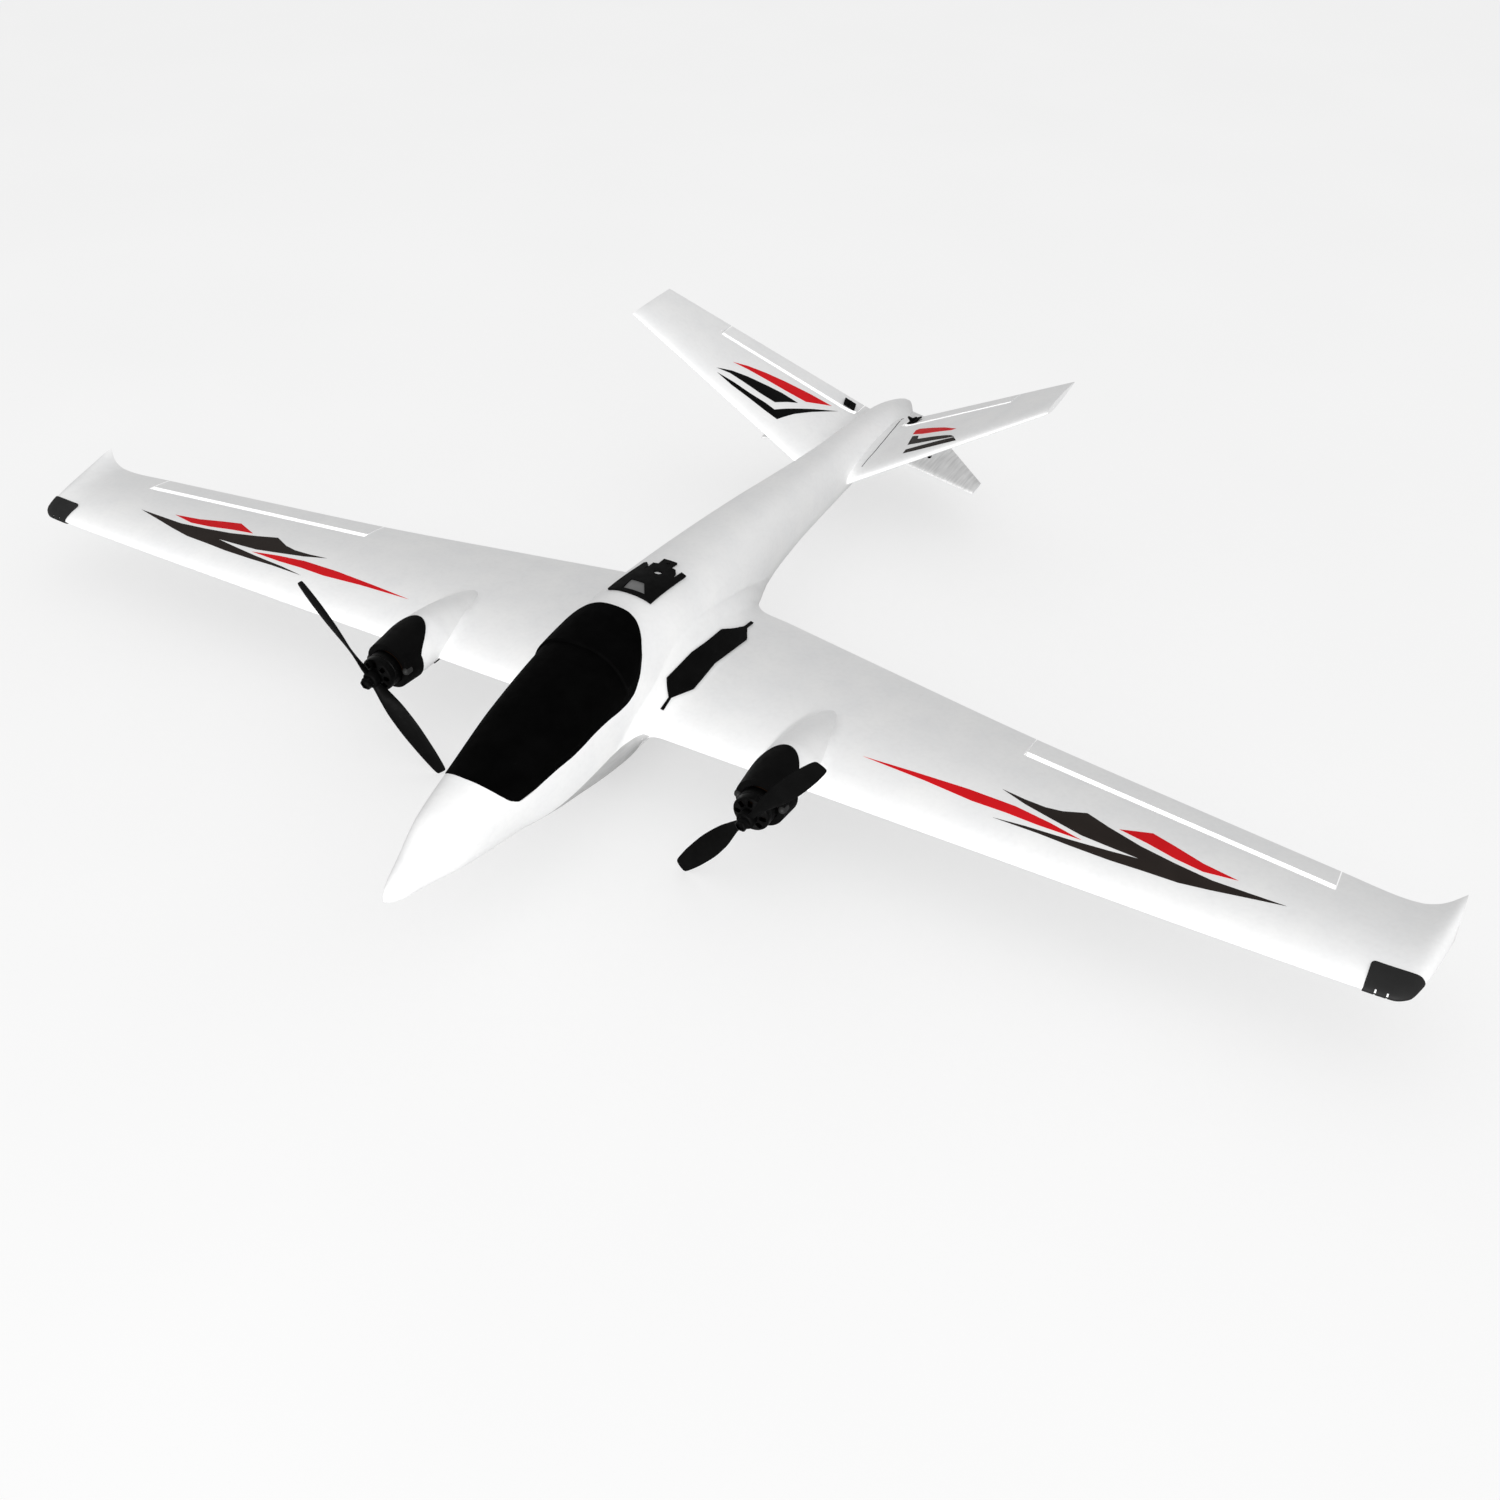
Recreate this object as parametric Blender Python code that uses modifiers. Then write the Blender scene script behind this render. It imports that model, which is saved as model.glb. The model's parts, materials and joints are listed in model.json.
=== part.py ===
"""Twin-motor V-tail model aeroplane in moulded foam: shells, control surfaces, linkages, motors, equipment.

Stations run aft from the nose tip and heights run up from the wing's chord plane. The finished frame has
+Z up, the nose towards -Y and the left wing towards +X.
"""

import math

import bmesh
import bpy
import numpy as np
from mathutils import Matrix, Vector
from mathutils.bvhtree import BVHTree

MM = 0.001

# Driving dimensions
LENGTH = 816 * MM
WING_LEVEL = 67 * MM
# Rise from the wing's leading edge to its trailing edge, in millimetres about the wing's own level
WING_TILT = 4
AEROFOIL_THICKNESS = 0.11
AEROFOIL_CAMBER = 0.025
GAP = 0.3 * MM
FOAM_WALL = 7 * MM
HATCH_THICKNESS = 3.6 * MM
LEDGE_WIDTH = 6 * MM
POD_X = 162.4 * MM
MOTOR_HEIGHT = 5.6 * MM
PROP_ANGLE = math.radians(52)
SPAR_STATION = 292 * MM
SPAR_HEIGHT = 1 * MM
SPAR_RADIUS = 4 * MM
SPAR_HALF = 330 * MM
JOINER_STATION = 362 * MM
JOINER_HEIGHT = 1.5 * MM
JOINER_RADIUS = 2 * MM
JOINER_HALF = 170 * MM
AILERON_HINGE = ((302, 338.7), (527, 309.6))
TAIL_HINGE = ((28.5, 734.5), (148.2, 685.2))
HINGE_GROOVE_ANGLE = math.radians(38)
AILERON_END_GAP = 0.8 * MM
TAIL_END_GAP = 1.2 * MM
HORN_RADIUS = 10 * MM
ROD_RADIUS = 0.6 * MM
BASE_HEIGHT = -45 * MM

# Body sections: station, half width, top, bottom, height of the widest point, squareness of the section
BODY_SECTIONS = (
    (0, 0.5, 10, 8, 9, 2.0),
    (4, 4.1, 13.6, 4.6, 9, 2.0),
    (12, 7.8, 17.5, 1, 9, 2.0),
    (25, 11.6, 22.5, -2, 10.3, 2.0),
    (60, 21.3, 36.4, -10.8, 12.8, 2.2),
    (105, 28, 46, -19, 13.5, 2.4),
    (160, 35.5, 57, -27, 15, 2.5),
    (219, 41.5, 64.5, -37, 13.7, 2.5),
    (260, 43, 68.8, -41.5, 13.5, 2.4),
    (300, 43, 69.6, -42.5, 13.5, 2.4),
    (350, 42, 65.6, -40, 13.5, 2.4),
    (431, 34.8, 59.6, -31, 14.2, 2.4),
    (489, 28.8, 53.3, -20.5, 16.5, 2.4),
    (551, 24.4, 45, -18, 13.7, 2.3),
    (616, 20.9, 36, -18, 9, 2.3),
    (740, 16.5, 23, -19, 1, 2.2),
    (790, 11, 9.5, -20.5, -5, 2.1),
    (811, 6.5, -2.5, -21, -11, 2.0),
    (816, 3, -12, -20.5, -16, 2.0),
)
# Wing planform from root to tip: span position, leading edge, trailing edge, upward sweep of the tip
WING_SECTIONS = (
    (75, 238.5, 406.6, 0),
    (183, 238.5, 386, 0),
    (302, 238.5, 364.3, 0),
    (428, 238.5, 346, 0),
    (528, 238, 332, 0),
    (565, 236.5, 327, 0),
    (578, 236, 326.6, 1),
    (587, 241, 328, 3.4),
    (593, 259, 330.5, 6),
    (599, 286, 334.8, 9.5),
    (602, 303, 337, 11.5),
)
# Root fairing that blends the body into the wing: span position, leading edge, trailing edge, then how far
# its top stands above the wing's own section and its underside hangs below it
FAIRING_SECTIONS = (
    (34, 160, 434, 24, 20),
    (38, 190, 425, 24, 18),
    (42, 216, 418.5, 24, 15),
    (44, 223, 416, 17.6, 9),
    (46, 229, 414, 13.2, 6),
    (50, 235, 411.3, 7.8, 2.6),
    (54, 237.5, 409.8, 4.4, 1.2),
    (60, 238.5, 408.6, 1.4, 0.3),
    (74.7, 238.5, 406.6, 0, 0),
)
# Nacelle: station and radius about the motor axis
NACELLE_SECTIONS = (
    (200, 18), (217, 19.4), (230, 20.3), (245, 20.1), (258, 18.8), (275, 16), (290, 12.3), (303, 8.6), (312, 5),
)
# Hatch outline in plan, right half: span position and station
HATCH_OUTLINE = (
    (0, 90), (11, 91.5), (24, 98), (28.6, 101.5), (31, 108), (33.6, 130), (37, 164), (42.3, 226), (42.6, 236),
    (40.2, 246), (34, 259), (24, 271), (12.5, 277.6), (0, 279),
)
TAIL_LEADING = 620 * MM
TAIL_ROOT_X = 9 * MM
TAIL_TIP_X = 200 * MM
TAIL_TIP_TRAILING = 684.5 * MM
TAIL_TRAILING_SWEEP = 0.4435
TAIL_TIP_HEIGHT = 120 * MM
TAIL_SLOPE = 0.651
# The tail's section as a fraction of the wing's
TAIL_THICKNESS = 0.82
TAIL_LEAN = math.atan(TAIL_SLOPE)
FIN_ROOT = (21, 711, 800, -9.5)
FIN_TIP = (112.5, 706, 727, -23)

# How far the hatch stands above the body ahead of its lifting lip, and how far the lip does
HATCH_PROUD = 0.4 * MM
HATCH_LIP = 2.3 * MM
LIP_STATION = 229
MOTOR_FACE = 206 * MM
MOTOR_SEAT_RADIUS = 14.6 * MM
MOUNT_SKIN = 1.2 * MM
MOUNT_FRONT = 201
# Side view of the space behind the motor mount's dome: station and height
DOME_EDGE = ((218, -40), (218, 12), (221.5, 16), (229, 20.5), (237, 24), (246, 28.5), (262, 38), (262, -40))
PROP_PITCH = 102 * MM
PROP_HUB_MIDDLE = 23.8
# Blade: radius, chord, thickness
PROP_BLADE = (
    (4, 7, 4.2), (9, 8, 3.8), (18, 11, 2.6), (32, 15.5, 2.0), (50, 17.5, 1.7), (68, 16, 1.4), (82, 12.8, 1.1),
    (88.9, 9.4, 0.9),
)
BLADE_SECTION = (
    (-0.5, 0), (-0.28, 0.45), (0.05, 0.6), (0.33, 0.42), (0.5, 0), (0.3, -0.25), (0, -0.4), (-0.3, -0.25),
)
# Servo cases: length, width, depth
AILERON_SERVO = (22, 8.6, 20)
TAIL_SERVO = (20, 7.6, 17)
HORN_OUTLINE = (
    (-2.2, -10.4), (-1.4, -12), (1.2, -12.2), (2.6, -10.8), (9.5, -1.8), (13.6, -1.8), (13.6, -0.7), (2.2, -0.7),
    (1.2, -2.5), (-1.6, -8),
)
TOP_HORN_FIN = ((5.8, 6.4), (15, 6.4), (14, 8.4), (9.5, 9.4), (6.4, 13.2), (5.4, 12.8))
TAIL_JOINER_STATION = 664 * MM
TAIL_JOINER_HEIGHT = 6.5 * MM
TAIL_JOINER_RADIUS = 1.5 * MM
TAIL_JOINER_HALF = 31 * MM
ROOT_COVER_LEAN = math.radians(42.4)
ROOT_COVER_OUTLINE = ((-9.4, 270), (1, 260), (5, 261), (11.2, 281), (11, 333), (14.6, 359), (6.5, 367), (-5, 347))
ACCESSORY_PAD = 71.6 * MM
ACCESSORY_OUTLINE = ((-19.2, 294.7), (19.2, 294.7), (17.4, 348.2), (-17.4, 348.2))

WHITE_FOAM = ("white_foam", (0.86, 0.86, 0.85), 0.62, 0.0)
BLACK_PLASTIC = ("black_plastic", (0.012, 0.012, 0.013), 0.55, 0.0)
BLACK_METAL = ("black_metal", (0.02, 0.02, 0.022), 0.35, 0.8)
STEEL = ("steel", (0.6, 0.6, 0.62), 0.3, 1.0)
CARBON = ("carbon", (0.03, 0.03, 0.03), 0.35, 0.0)
COPPER = ("copper_winding", (0.5, 0.22, 0.08), 0.35, 0.9)
PLYWOOD = ("plywood", (0.55, 0.4, 0.24), 0.7, 0.0)
BATTERY_WRAP = ("battery_wrap", (0.02, 0.05, 0.12), 0.4, 0.0)
WEBBING = ("webbing", (0.03, 0.03, 0.03), 0.8, 0.0)
CIRCUIT = ("circuit_board", (0.01, 0.06, 0.03), 0.45, 0.0)


# ---- scene, materials and object helpers


def clear_scene():
    for old in list(bpy.data.objects):
        bpy.data.objects.remove(old, do_unlink=True)


def new_collection(name):
    made = bpy.data.collections.new(name)
    bpy.context.scene.collection.children.link(made)
    return made


def material(spec):
    name, colour, roughness, metallic = spec
    found = bpy.data.materials.get(name)
    if found:
        return found
    made = bpy.data.materials.new(name)
    made.use_nodes = True
    shader = made.node_tree.nodes["Principled BSDF"]
    shader.inputs["Base Color"].default_value = (*colour, 1)
    shader.inputs["Roughness"].default_value = roughness
    shader.inputs["Metallic"].default_value = metallic
    return made


def part(name, mesh, spec, matrix=None):
    """A finished sub-part: the mesh linked into the aeroplane's collection."""
    made = bpy.data.objects.new(name, mesh)
    AEROPLANE.objects.link(made)
    mesh.materials.clear()
    mesh.materials.append(material(spec))
    if matrix:
        made.matrix_world = matrix
    return made


def tool(name, mesh, matrix=None):
    """A cutter or a piece to be joined, which the finished model leaves out."""
    made = bpy.data.objects.new(name, mesh)
    TOOLS.objects.link(made)
    made.hide_render = True
    made.display_type = "WIRE"
    if matrix:
        made.matrix_world = matrix
    return made


def boolean(target, other, operation):
    step = target.modifiers.new(f"{operation.lower()} {other.name}", "BOOLEAN")
    step.operation = operation
    step.solver = "EXACT"
    step.object = other


def mesh_from(bm, name):
    bmesh.ops.recalc_face_normals(bm, faces=bm.faces)
    if bm.calc_volume(signed=True) < 0:
        bmesh.ops.reverse_faces(bm, faces=bm.faces)
    mesh = bpy.data.meshes.new(name)
    bm.to_mesh(mesh)
    bm.free()
    return mesh


def baked(made):
    """The object's evaluated mesh as a new mesh, for a shape that other pieces are measured from."""
    bpy.context.view_layer.update()
    graph = bpy.context.evaluated_depsgraph_get()
    return bpy.data.meshes.new_from_object(made.evaluated_get(graph))


def smooth(made, degrees=40):
    made.data.shade_smooth()
    made.data.set_sharp_from_angle(angle=math.radians(degrees))


# ---- shape helpers


def at(x, station, height):
    """A point of the finished frame from a span position, a station and a height."""
    return Vector((x, station - LENGTH / 2, height + WING_LEVEL))


def at_mm(x, station, height):
    return at(x * MM, station * MM, height * MM)


def curve_through(rows, column):
    """A smooth function through one column of a table of sections, against its first column."""
    table = np.array([(row[0], row[column]) for row in rows], float)
    x, y = table.T
    slope = np.diff(y) / np.diff(x)
    tangent = np.zeros(len(x))
    same = slope[:-1] * slope[1:] > 0
    total = np.where(same, slope[:-1] + slope[1:], 1)
    tangent[1:-1][same] = (2 * slope[:-1] * slope[1:] / total)[same]
    tangent[0], tangent[-1] = slope[0], slope[-1]

    def value(at_x):
        i = int(np.clip(np.searchsorted(x, at_x) - 1, 0, len(x) - 2))
        h = x[i + 1] - x[i]
        t = (at_x - x[i]) / h
        return float(
            y[i] * (1 + 2 * t) * (1 - t) ** 2
            + tangent[i] * h * t * (1 - t) ** 2
            + y[i + 1] * t * t * (3 - 2 * t)
            + tangent[i + 1] * h * t * t * (t - 1)
        )

    return value


def loft(rings, name):
    """A closed skin through rings of equally many points, with flat ends."""
    bm = bmesh.new()
    rows = [[bm.verts.new(p) for p in ring] for ring in rings]
    count = len(rows[0])
    for low, high in zip(rows, rows[1:]):
        for i in range(count):
            j = (i + 1) % count
            bm.faces.new((low[i], low[j], high[j], high[i]))
    bm.faces.new(rows[0][::-1])
    bm.faces.new(rows[-1])
    return mesh_from(bm, name)


def box_mesh(low, high, name, bevel=0.0):
    bm = bmesh.new()
    bmesh.ops.create_cube(bm, size=1)
    size = Vector(high) - Vector(low)
    middle = (Vector(high) + Vector(low)) / 2
    for v in bm.verts:
        v.co = Vector(a * b for a, b in zip(v.co, size)) + middle
    if bevel:
        bmesh.ops.bevel(bm, geom=bm.edges[:], offset=bevel, segments=2, affect="EDGES", profile=0.5)
    return mesh_from(bm, name)


def cylinder_mesh(radius, length, name, sides=24):
    """A cylinder about Z, from -length/2 to length/2."""
    bm = bmesh.new()
    bmesh.ops.create_cone(
        bm, cap_ends=True, segments=sides, radius1=radius, radius2=radius, depth=length
    )
    return mesh_from(bm, name)


def hexahedron(corners, name):
    """A cube whose eight corners are moved: corners[x][y][z] with 0 for the low and 1 for the high side."""
    bm = bmesh.new()
    bmesh.ops.create_cube(bm, size=2)
    for v in bm.verts:
        i, j, k = (int(c > 0) for c in v.co)
        v.co = corners[i][j][k]
    return mesh_from(bm, name)


def prism(outline, low, high, name):
    """An outline of plan points drawn up from one height to another."""
    bm = bmesh.new()
    foot = [bm.verts.new(at(x, s, low)) for x, s in outline]
    base = bm.faces.new(foot)
    raised = bmesh.ops.extrude_face_region(bm, geom=[base])
    lifted = [g for g in raised["geom"] if isinstance(g, bmesh.types.BMVert)]
    bmesh.ops.translate(bm, verts=lifted, vec=(0, 0, high - low))
    return mesh_from(bm, name)


def turned(name, profile, spec, matrix, sides=32):
    """A body turned about local Z from a profile of (radius, height) that runs down its outer side."""
    bm = bmesh.new()
    points = [bm.verts.new((r, 0, z)) for r, z in profile]
    for a, b in zip(points, points[1:]):
        bm.edges.new((a, b))
    if profile[0][0] > 0:
        bm.edges.new((points[-1], points[0]))
    mesh = bpy.data.meshes.new(name)
    bm.to_mesh(mesh)
    bm.free()
    made = part(name, mesh, spec, matrix)
    screw = made.modifiers.new("turn", "SCREW")
    screw.axis = "Z"
    screw.steps = sides
    screw.render_steps = sides
    screw.use_merge_vertices = True
    screw.merge_threshold = 0.00001
    screw.use_smooth_shade = True
    return made


def flat_piece(name, outline, holes, thickness, matrix):
    """A mesh of a flat outline with holes, in the matrix's XY plane and centred on it."""
    curve = bpy.data.curves.new(name + "_outline", "CURVE")
    curve.dimensions = "2D"
    curve.fill_mode = "BOTH"
    curve.extrude = thickness / 2
    rings = [outline]
    for (cx, cy), radius in holes:
        turn = [2 * math.pi * k / 12 for k in range(12)]
        rings.append([(cx + radius * math.cos(a), cy + radius * math.sin(a)) for a in turn])
    for ring in rings:
        spline = curve.splines.new("POLY")
        spline.points.add(len(ring) - 1)
        for point, (x, y) in zip(spline.points, ring):
            point.co = (x, y, 0, 1)
        spline.use_cyclic_u = True
    holder = tool(name + "_outline", curve, matrix)
    mesh = baked(holder)
    bpy.data.objects.remove(holder, do_unlink=True)
    bm = bmesh.new()
    bm.from_mesh(mesh)
    bmesh.ops.remove_doubles(bm, verts=bm.verts, dist=0.00001)
    return mesh_from(bm, name)


def mirrored(points, side):
    return [Vector((p.x * side, p.y, p.z)) for p in points]


# ---- fuselage surfaces


def body_section(station, offset=0.0, sides=32):
    """Ring of the body's section at a station, moved outwards by offset."""
    s = station / MM
    width, top, bottom, middle, square = (value(s) for value in BODY_CURVES)
    ring = []
    for k in range(sides):
        angle = 2 * math.pi * k / sides
        c, d = math.cos(angle), math.sin(angle)
        reach = (top - middle) if c > 0 else (middle - bottom)
        px = width * math.copysign(abs(d) ** (2 / square), d)
        pz = reach * math.copysign(abs(c) ** (2 / square), c)
        nx = math.copysign(abs(d) ** (2 - 2 / square), d) / width
        nz = math.copysign(abs(c) ** (2 - 2 / square), c) / reach
        normal = Vector((nx, 0, nz)).normalized()
        ring.append(at_mm(px, s, middle + pz) + Vector((normal.x, 0, normal.z)) * offset)
    return ring


def body_stations(first, last, count):
    """Stations from first to last, closer together near the nose."""
    steps = np.linspace(0, 1, count)
    return [first + (last - first) * float(t) ** 1.35 for t in steps]


def body_loft(name, first, last, count, offset=0.0, sides=32):
    rings = [body_section(s, offset, sides) for s in body_stations(first, last, count)]
    return loft(rings, name)


def hatch_outline(inset=0.0):
    """The hatch's outline in plan, moved inwards by inset."""
    half = [Vector((x * MM, s * MM)) for x, s in HATCH_OUTLINE]
    ring = half + [Vector((-p.x, p.y)) for p in half[-2:0:-1]]
    moved = []
    for before, here, after in zip(ring[-1:] + ring[:-1], ring, ring[1:] + ring[:1]):
        along = (after - before).normalized()
        moved.append(here + Vector((-along.y, along.x)) * inset)
    return moved


# ---- wing surfaces


def aerofoil_height(s, upper, camber=AEROFOIL_CAMBER):
    """Height of the upper or lower surface at a fraction of the chord, as a fraction of the chord."""
    shape = 0.2969 * math.sqrt(s) - 0.126 * s - 0.3516 * s**2 + 0.2843 * s**3 - 0.1036 * s**4
    half = 5 * AEROFOIL_THICKNESS * shape + 0.004 * s
    return 4 * camber * s * (1 - s) + (half if upper else -half)


def aerofoil(camber=AEROFOIL_CAMBER):
    """Upper points from the nose aft, then lower points back, as (chord fraction, height fraction)."""
    cuts = [0.5 - 0.5 * math.cos(math.pi * k / 9) for k in range(10)]
    upper = [(s, aerofoil_height(s, True, camber)) for s in cuts]
    lower = [(s, aerofoil_height(s, False, camber)) for s in cuts[:0:-1]]
    return upper + lower


def grown(ring, offset):
    """The ring moved outwards in its own fore-and-aft plane."""
    moved = []
    for before, here, after in zip(ring[-1:] + ring[:-1], ring, ring[1:] + ring[:1]):
        along = after - before
        moved.append(here + Vector((0, -along.z, along.y)).normalized() * offset)
    return moved


def wing_ring(x, leading, trailing, rise, offset=0.0):
    """One section of the wing; the leading edge sits a little below the trailing edge."""
    chord = trailing - leading
    ring = []
    for s, h in aerofoil():
        line = WING_TILT * (s - 1) + rise * (0.35 + 0.65 * s)
        ring.append(at_mm(x, leading + s * chord, line + h * chord))
    return grown(ring, offset)


def wing_mesh(name, side, offset=0.0, stretch=0.0):
    rings = []
    for x, leading, trailing, rise in WING_SECTIONS:
        rings.append(wing_ring(x, leading, trailing, rise, offset))
    if stretch:
        rings[-1] = [p + Vector((stretch, 0, 0)) for p in rings[-1]]
    return loft([mirrored(ring, side) for ring in rings], name)


def wing_line(x_mm):
    """Leading and trailing edge stations at a span position."""
    xs = [row[0] for row in WING_SECTIONS]
    leading = np.interp(x_mm, xs, [row[1] for row in WING_SECTIONS])
    trailing = np.interp(x_mm, xs, [row[2] for row in WING_SECTIONS])
    return float(leading), float(trailing)


def wing_surface_height(x_mm, station_mm, upper):
    leading, trailing = wing_line(x_mm)
    s = (station_mm - leading) / (trailing - leading)
    return WING_TILT * (s - 1) + aerofoil_height(s, upper) * (trailing - leading)


def nacelle_mesh(name, side, offset=0.0, first=209.5, last=NACELLE_SECTIONS[-1][0]):
    """The nacelle between two stations, turned about the motor axis and moved outwards by offset."""
    radius = curve_through(NACELLE_SECTIONS, 1)
    rings = []
    for s in np.linspace(first, last, 11):
        r = radius(s) * MM + offset
        turn = [2 * math.pi * k / 28 for k in range(28)]
        centre = at(POD_X * side, s * MM, MOTOR_HEIGHT)
        rings.append([centre + Vector((r * math.sin(a), 0, r * math.cos(a))) for a in turn])
    return loft(rings, name)


# ---- tail surfaces


def tail_trailing(x):
    return TAIL_TIP_TRAILING + TAIL_TRAILING_SWEEP * (TAIL_TIP_X - x)


def tail_height(x):
    return TAIL_TIP_HEIGHT - TAIL_SLOPE * (TAIL_TIP_X - x)


def tail_mesh(name, side):
    """One V-tail panel through its root, hinge ends and tip."""
    up = Vector((-math.sin(TAIL_LEAN), 0, math.cos(TAIL_LEAN)))
    rings = []
    for x in np.linspace(TAIL_ROOT_X, TAIL_TIP_X, 7):
        chord = tail_trailing(x) - TAIL_LEADING
        centre = [at(x, TAIL_LEADING + s * chord, tail_height(x)) for s, _ in aerofoil()]
        lift = [h * chord * TAIL_THICKNESS for _, h in aerofoil(camber=0.0)]
        rings.append([c + up * h for c, h in zip(centre, lift)])
    return loft([mirrored(ring, side) for ring in rings], name)


# ---- hinge frames, which place every control surface and its linkage


class Hinge:
    """A hinge line with its own axes: across (towards +X), aft and up."""

    def __init__(self, ends, heights, side, up):
        inner = at_mm(ends[0][0], ends[0][1], heights[0])
        outer = at_mm(ends[1][0], ends[1][1], heights[1])
        self.side = side
        self.length = (outer - inner).length
        self.inner = Vector((inner.x * side, inner.y, inner.z))
        outward = mirrored([outer - inner], side)[0].normalized()
        self.across = outward * side
        rough_up = mirrored([up], side)[0]
        self.aft = rough_up.cross(self.across).normalized()
        self.up = self.across.cross(self.aft).normalized()

    def point(self, along, aft, up):
        """A point by distance outboard along the hinge, aft of it and above it."""
        return self.inner + self.across * self.side * along + self.aft * aft + self.up * up

    def matrix(self, along, aft=0.0, up=0.0):
        turn = Matrix((self.across, self.aft, self.up)).transposed().to_4x4()
        return Matrix.Translation(self.point(along, aft, up)) @ turn

    def block(self, name, along, front_low, front_high, aft, low, high):
        """A six-sided block behind the hinge line, whose front face may slope."""
        chordwise = Vector((0, 1, 0)) - self.up * self.up.y
        chordwise.normalize()
        corners = []
        for a in along:
            start = self.point(a, 0, 0)
            front = [start + chordwise * front_low + self.up * low]
            front.append(start + chordwise * front_high + self.up * high)
            back = [start + chordwise * aft + self.up * h for h in (low, high)]
            corners.append((front, back))
        return hexahedron(corners, name)


def aileron_hinge(side):
    """The aileron hinges on the wing's lower skin, so its groove opens on top."""
    heights = [wing_surface_height(x, s, upper=False) for x, s in AILERON_HINGE]
    return Hinge(AILERON_HINGE, heights, side, Vector((0, 0, 1)))


def tail_hinge(side):
    """The ruddervator hinges on the panel's lower skin too."""
    up = Vector((-math.sin(TAIL_LEAN), 0, math.cos(TAIL_LEAN)))
    heights = [tail_height(x * MM) / MM for x, _ in TAIL_HINGE]
    drop = []
    for (x, s), h in zip(TAIL_HINGE, heights):
        chord = tail_trailing(x * MM) - TAIL_LEADING
        fraction = (s * MM - TAIL_LEADING) / chord
        skin = aerofoil_height(fraction, False, camber=0.0) * chord * TAIL_THICKNESS
        drop.append(h + skin / MM / math.cos(TAIL_LEAN))
    return Hinge(TAIL_HINGE, drop, side, up)


def cut_surface(fixed, moving, hinge, reach, end_gap, name):
    """Opens a bay in the fixed panel and trims the moving surface to lie in it, with a V groove on top."""
    slope = math.tan(HINGE_GROOVE_ANGLE)
    low, high = -14 * MM, 22 * MM
    bay = tool(
        name + "_bay",
        hinge.block(name + "_bay", (0, hinge.length), -GAP, -GAP, reach, low, high),
    )
    boolean(fixed, bay, "DIFFERENCE")
    ends = (end_gap, hinge.length - end_gap)
    trim = tool(
        name + "_trim",
        hinge.block(name + "_trim", ends, GAP + low * slope, GAP + high * slope, reach, low, high),
    )
    boolean(moving, trim, "INTERSECT")


# ---- fuselage, hatch and what they hold


def bore_along_x(name, station, height, radius, half):
    """A cylinder along X, for a tube's bore."""
    turn = Matrix.Rotation(math.pi / 2, 4, "Y")
    place = Matrix.Translation(at(0, station, height)) @ turn
    return tool(name, cylinder_mesh(radius, 2 * half, name), place)


def fairing_ring(x, leading, trailing, lift, drop):
    """The wing root's section, raised above and deepened below towards the body, but not at its ends."""
    chord = WING_SECTIONS[0][2] - WING_SECTIONS[0][1]
    ring = []
    for s, h in aerofoil():
        fullness = min(1.0, (4 * s * (1 - s)) ** 0.7)
        fillet = lift * fullness if h > 0 else -drop * fullness
        height = WING_TILT * (s - 1) + h * chord + fillet
        ring.append(at_mm(x, leading + s * (trailing - leading), height))
    return ring


def fairing_mesh(name, side):
    rings = [mirrored(fairing_ring(*row), side) for row in FAIRING_SECTIONS]
    return loft(rings, name)


def fuselage_half(name, side):
    """One moulded half: outer skin with its wing root, opened for the equipment bay and the hatch."""
    mesh = body_loft(name, 0, LENGTH, 26)
    bm = bmesh.new()
    bm.from_mesh(mesh)
    everything = bm.verts[:] + bm.edges[:] + bm.faces[:]
    plane = Vector((side * GAP / 2, 0, 0))
    cut = bmesh.ops.bisect_plane(bm, geom=everything, plane_co=plane, plane_no=(-side, 0, 0), clear_outer=True)
    rim = [g for g in cut["geom_cut"] if isinstance(g, bmesh.types.BMEdge)]
    bmesh.ops.holes_fill(bm, edges=rim)
    half = part(name, mesh_from(bm, name), WHITE_FOAM)
    boolean(half, tool(name + "_root_fairing", fairing_mesh(name + "_root_fairing", side)), "UNION")
    for cutter in FUSELAGE_CUTTERS:
        boolean(half, cutter, "DIFFERENCE")
    smooth(half)
    return half


def fuselage_cutters():
    """Equipment bay, hatch rebate, hatch mouth, spar and joiner bores, tail joiner bore."""
    bay = tool("equipment_bay", body_loft("equipment_bay", 45 * MM, 600 * MM, 16, -FOAM_WALL, 28))
    rebate = tool("hatch_rebate", prism(hatch_outline(), 20 * MM, 90 * MM, "hatch_rebate"))
    floor = tool("hatch_floor", body_loft("hatch_floor", 60 * MM, 320 * MM, 16, -HATCH_THICKNESS - GAP))
    boolean(rebate, floor, "DIFFERENCE")
    mouth = tool("hatch_mouth", prism(hatch_outline(LEDGE_WIDTH), 22 * MM, 80 * MM, "hatch_mouth"))
    spar = bore_along_x("spar_bore", SPAR_STATION, SPAR_HEIGHT, SPAR_RADIUS + GAP, SPAR_HALF + GAP)
    joiner = bore_along_x(
        "joiner_bore", JOINER_STATION, JOINER_HEIGHT, JOINER_RADIUS + GAP, JOINER_HALF + GAP
    )
    tail = bore_along_x(
        "tail_joiner_bore", TAIL_JOINER_STATION, TAIL_JOINER_HEIGHT, TAIL_JOINER_RADIUS + GAP,
        TAIL_JOINER_HALF + GAP,
    )
    return [bay, rebate, mouth, spar, joiner, tail]


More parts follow.
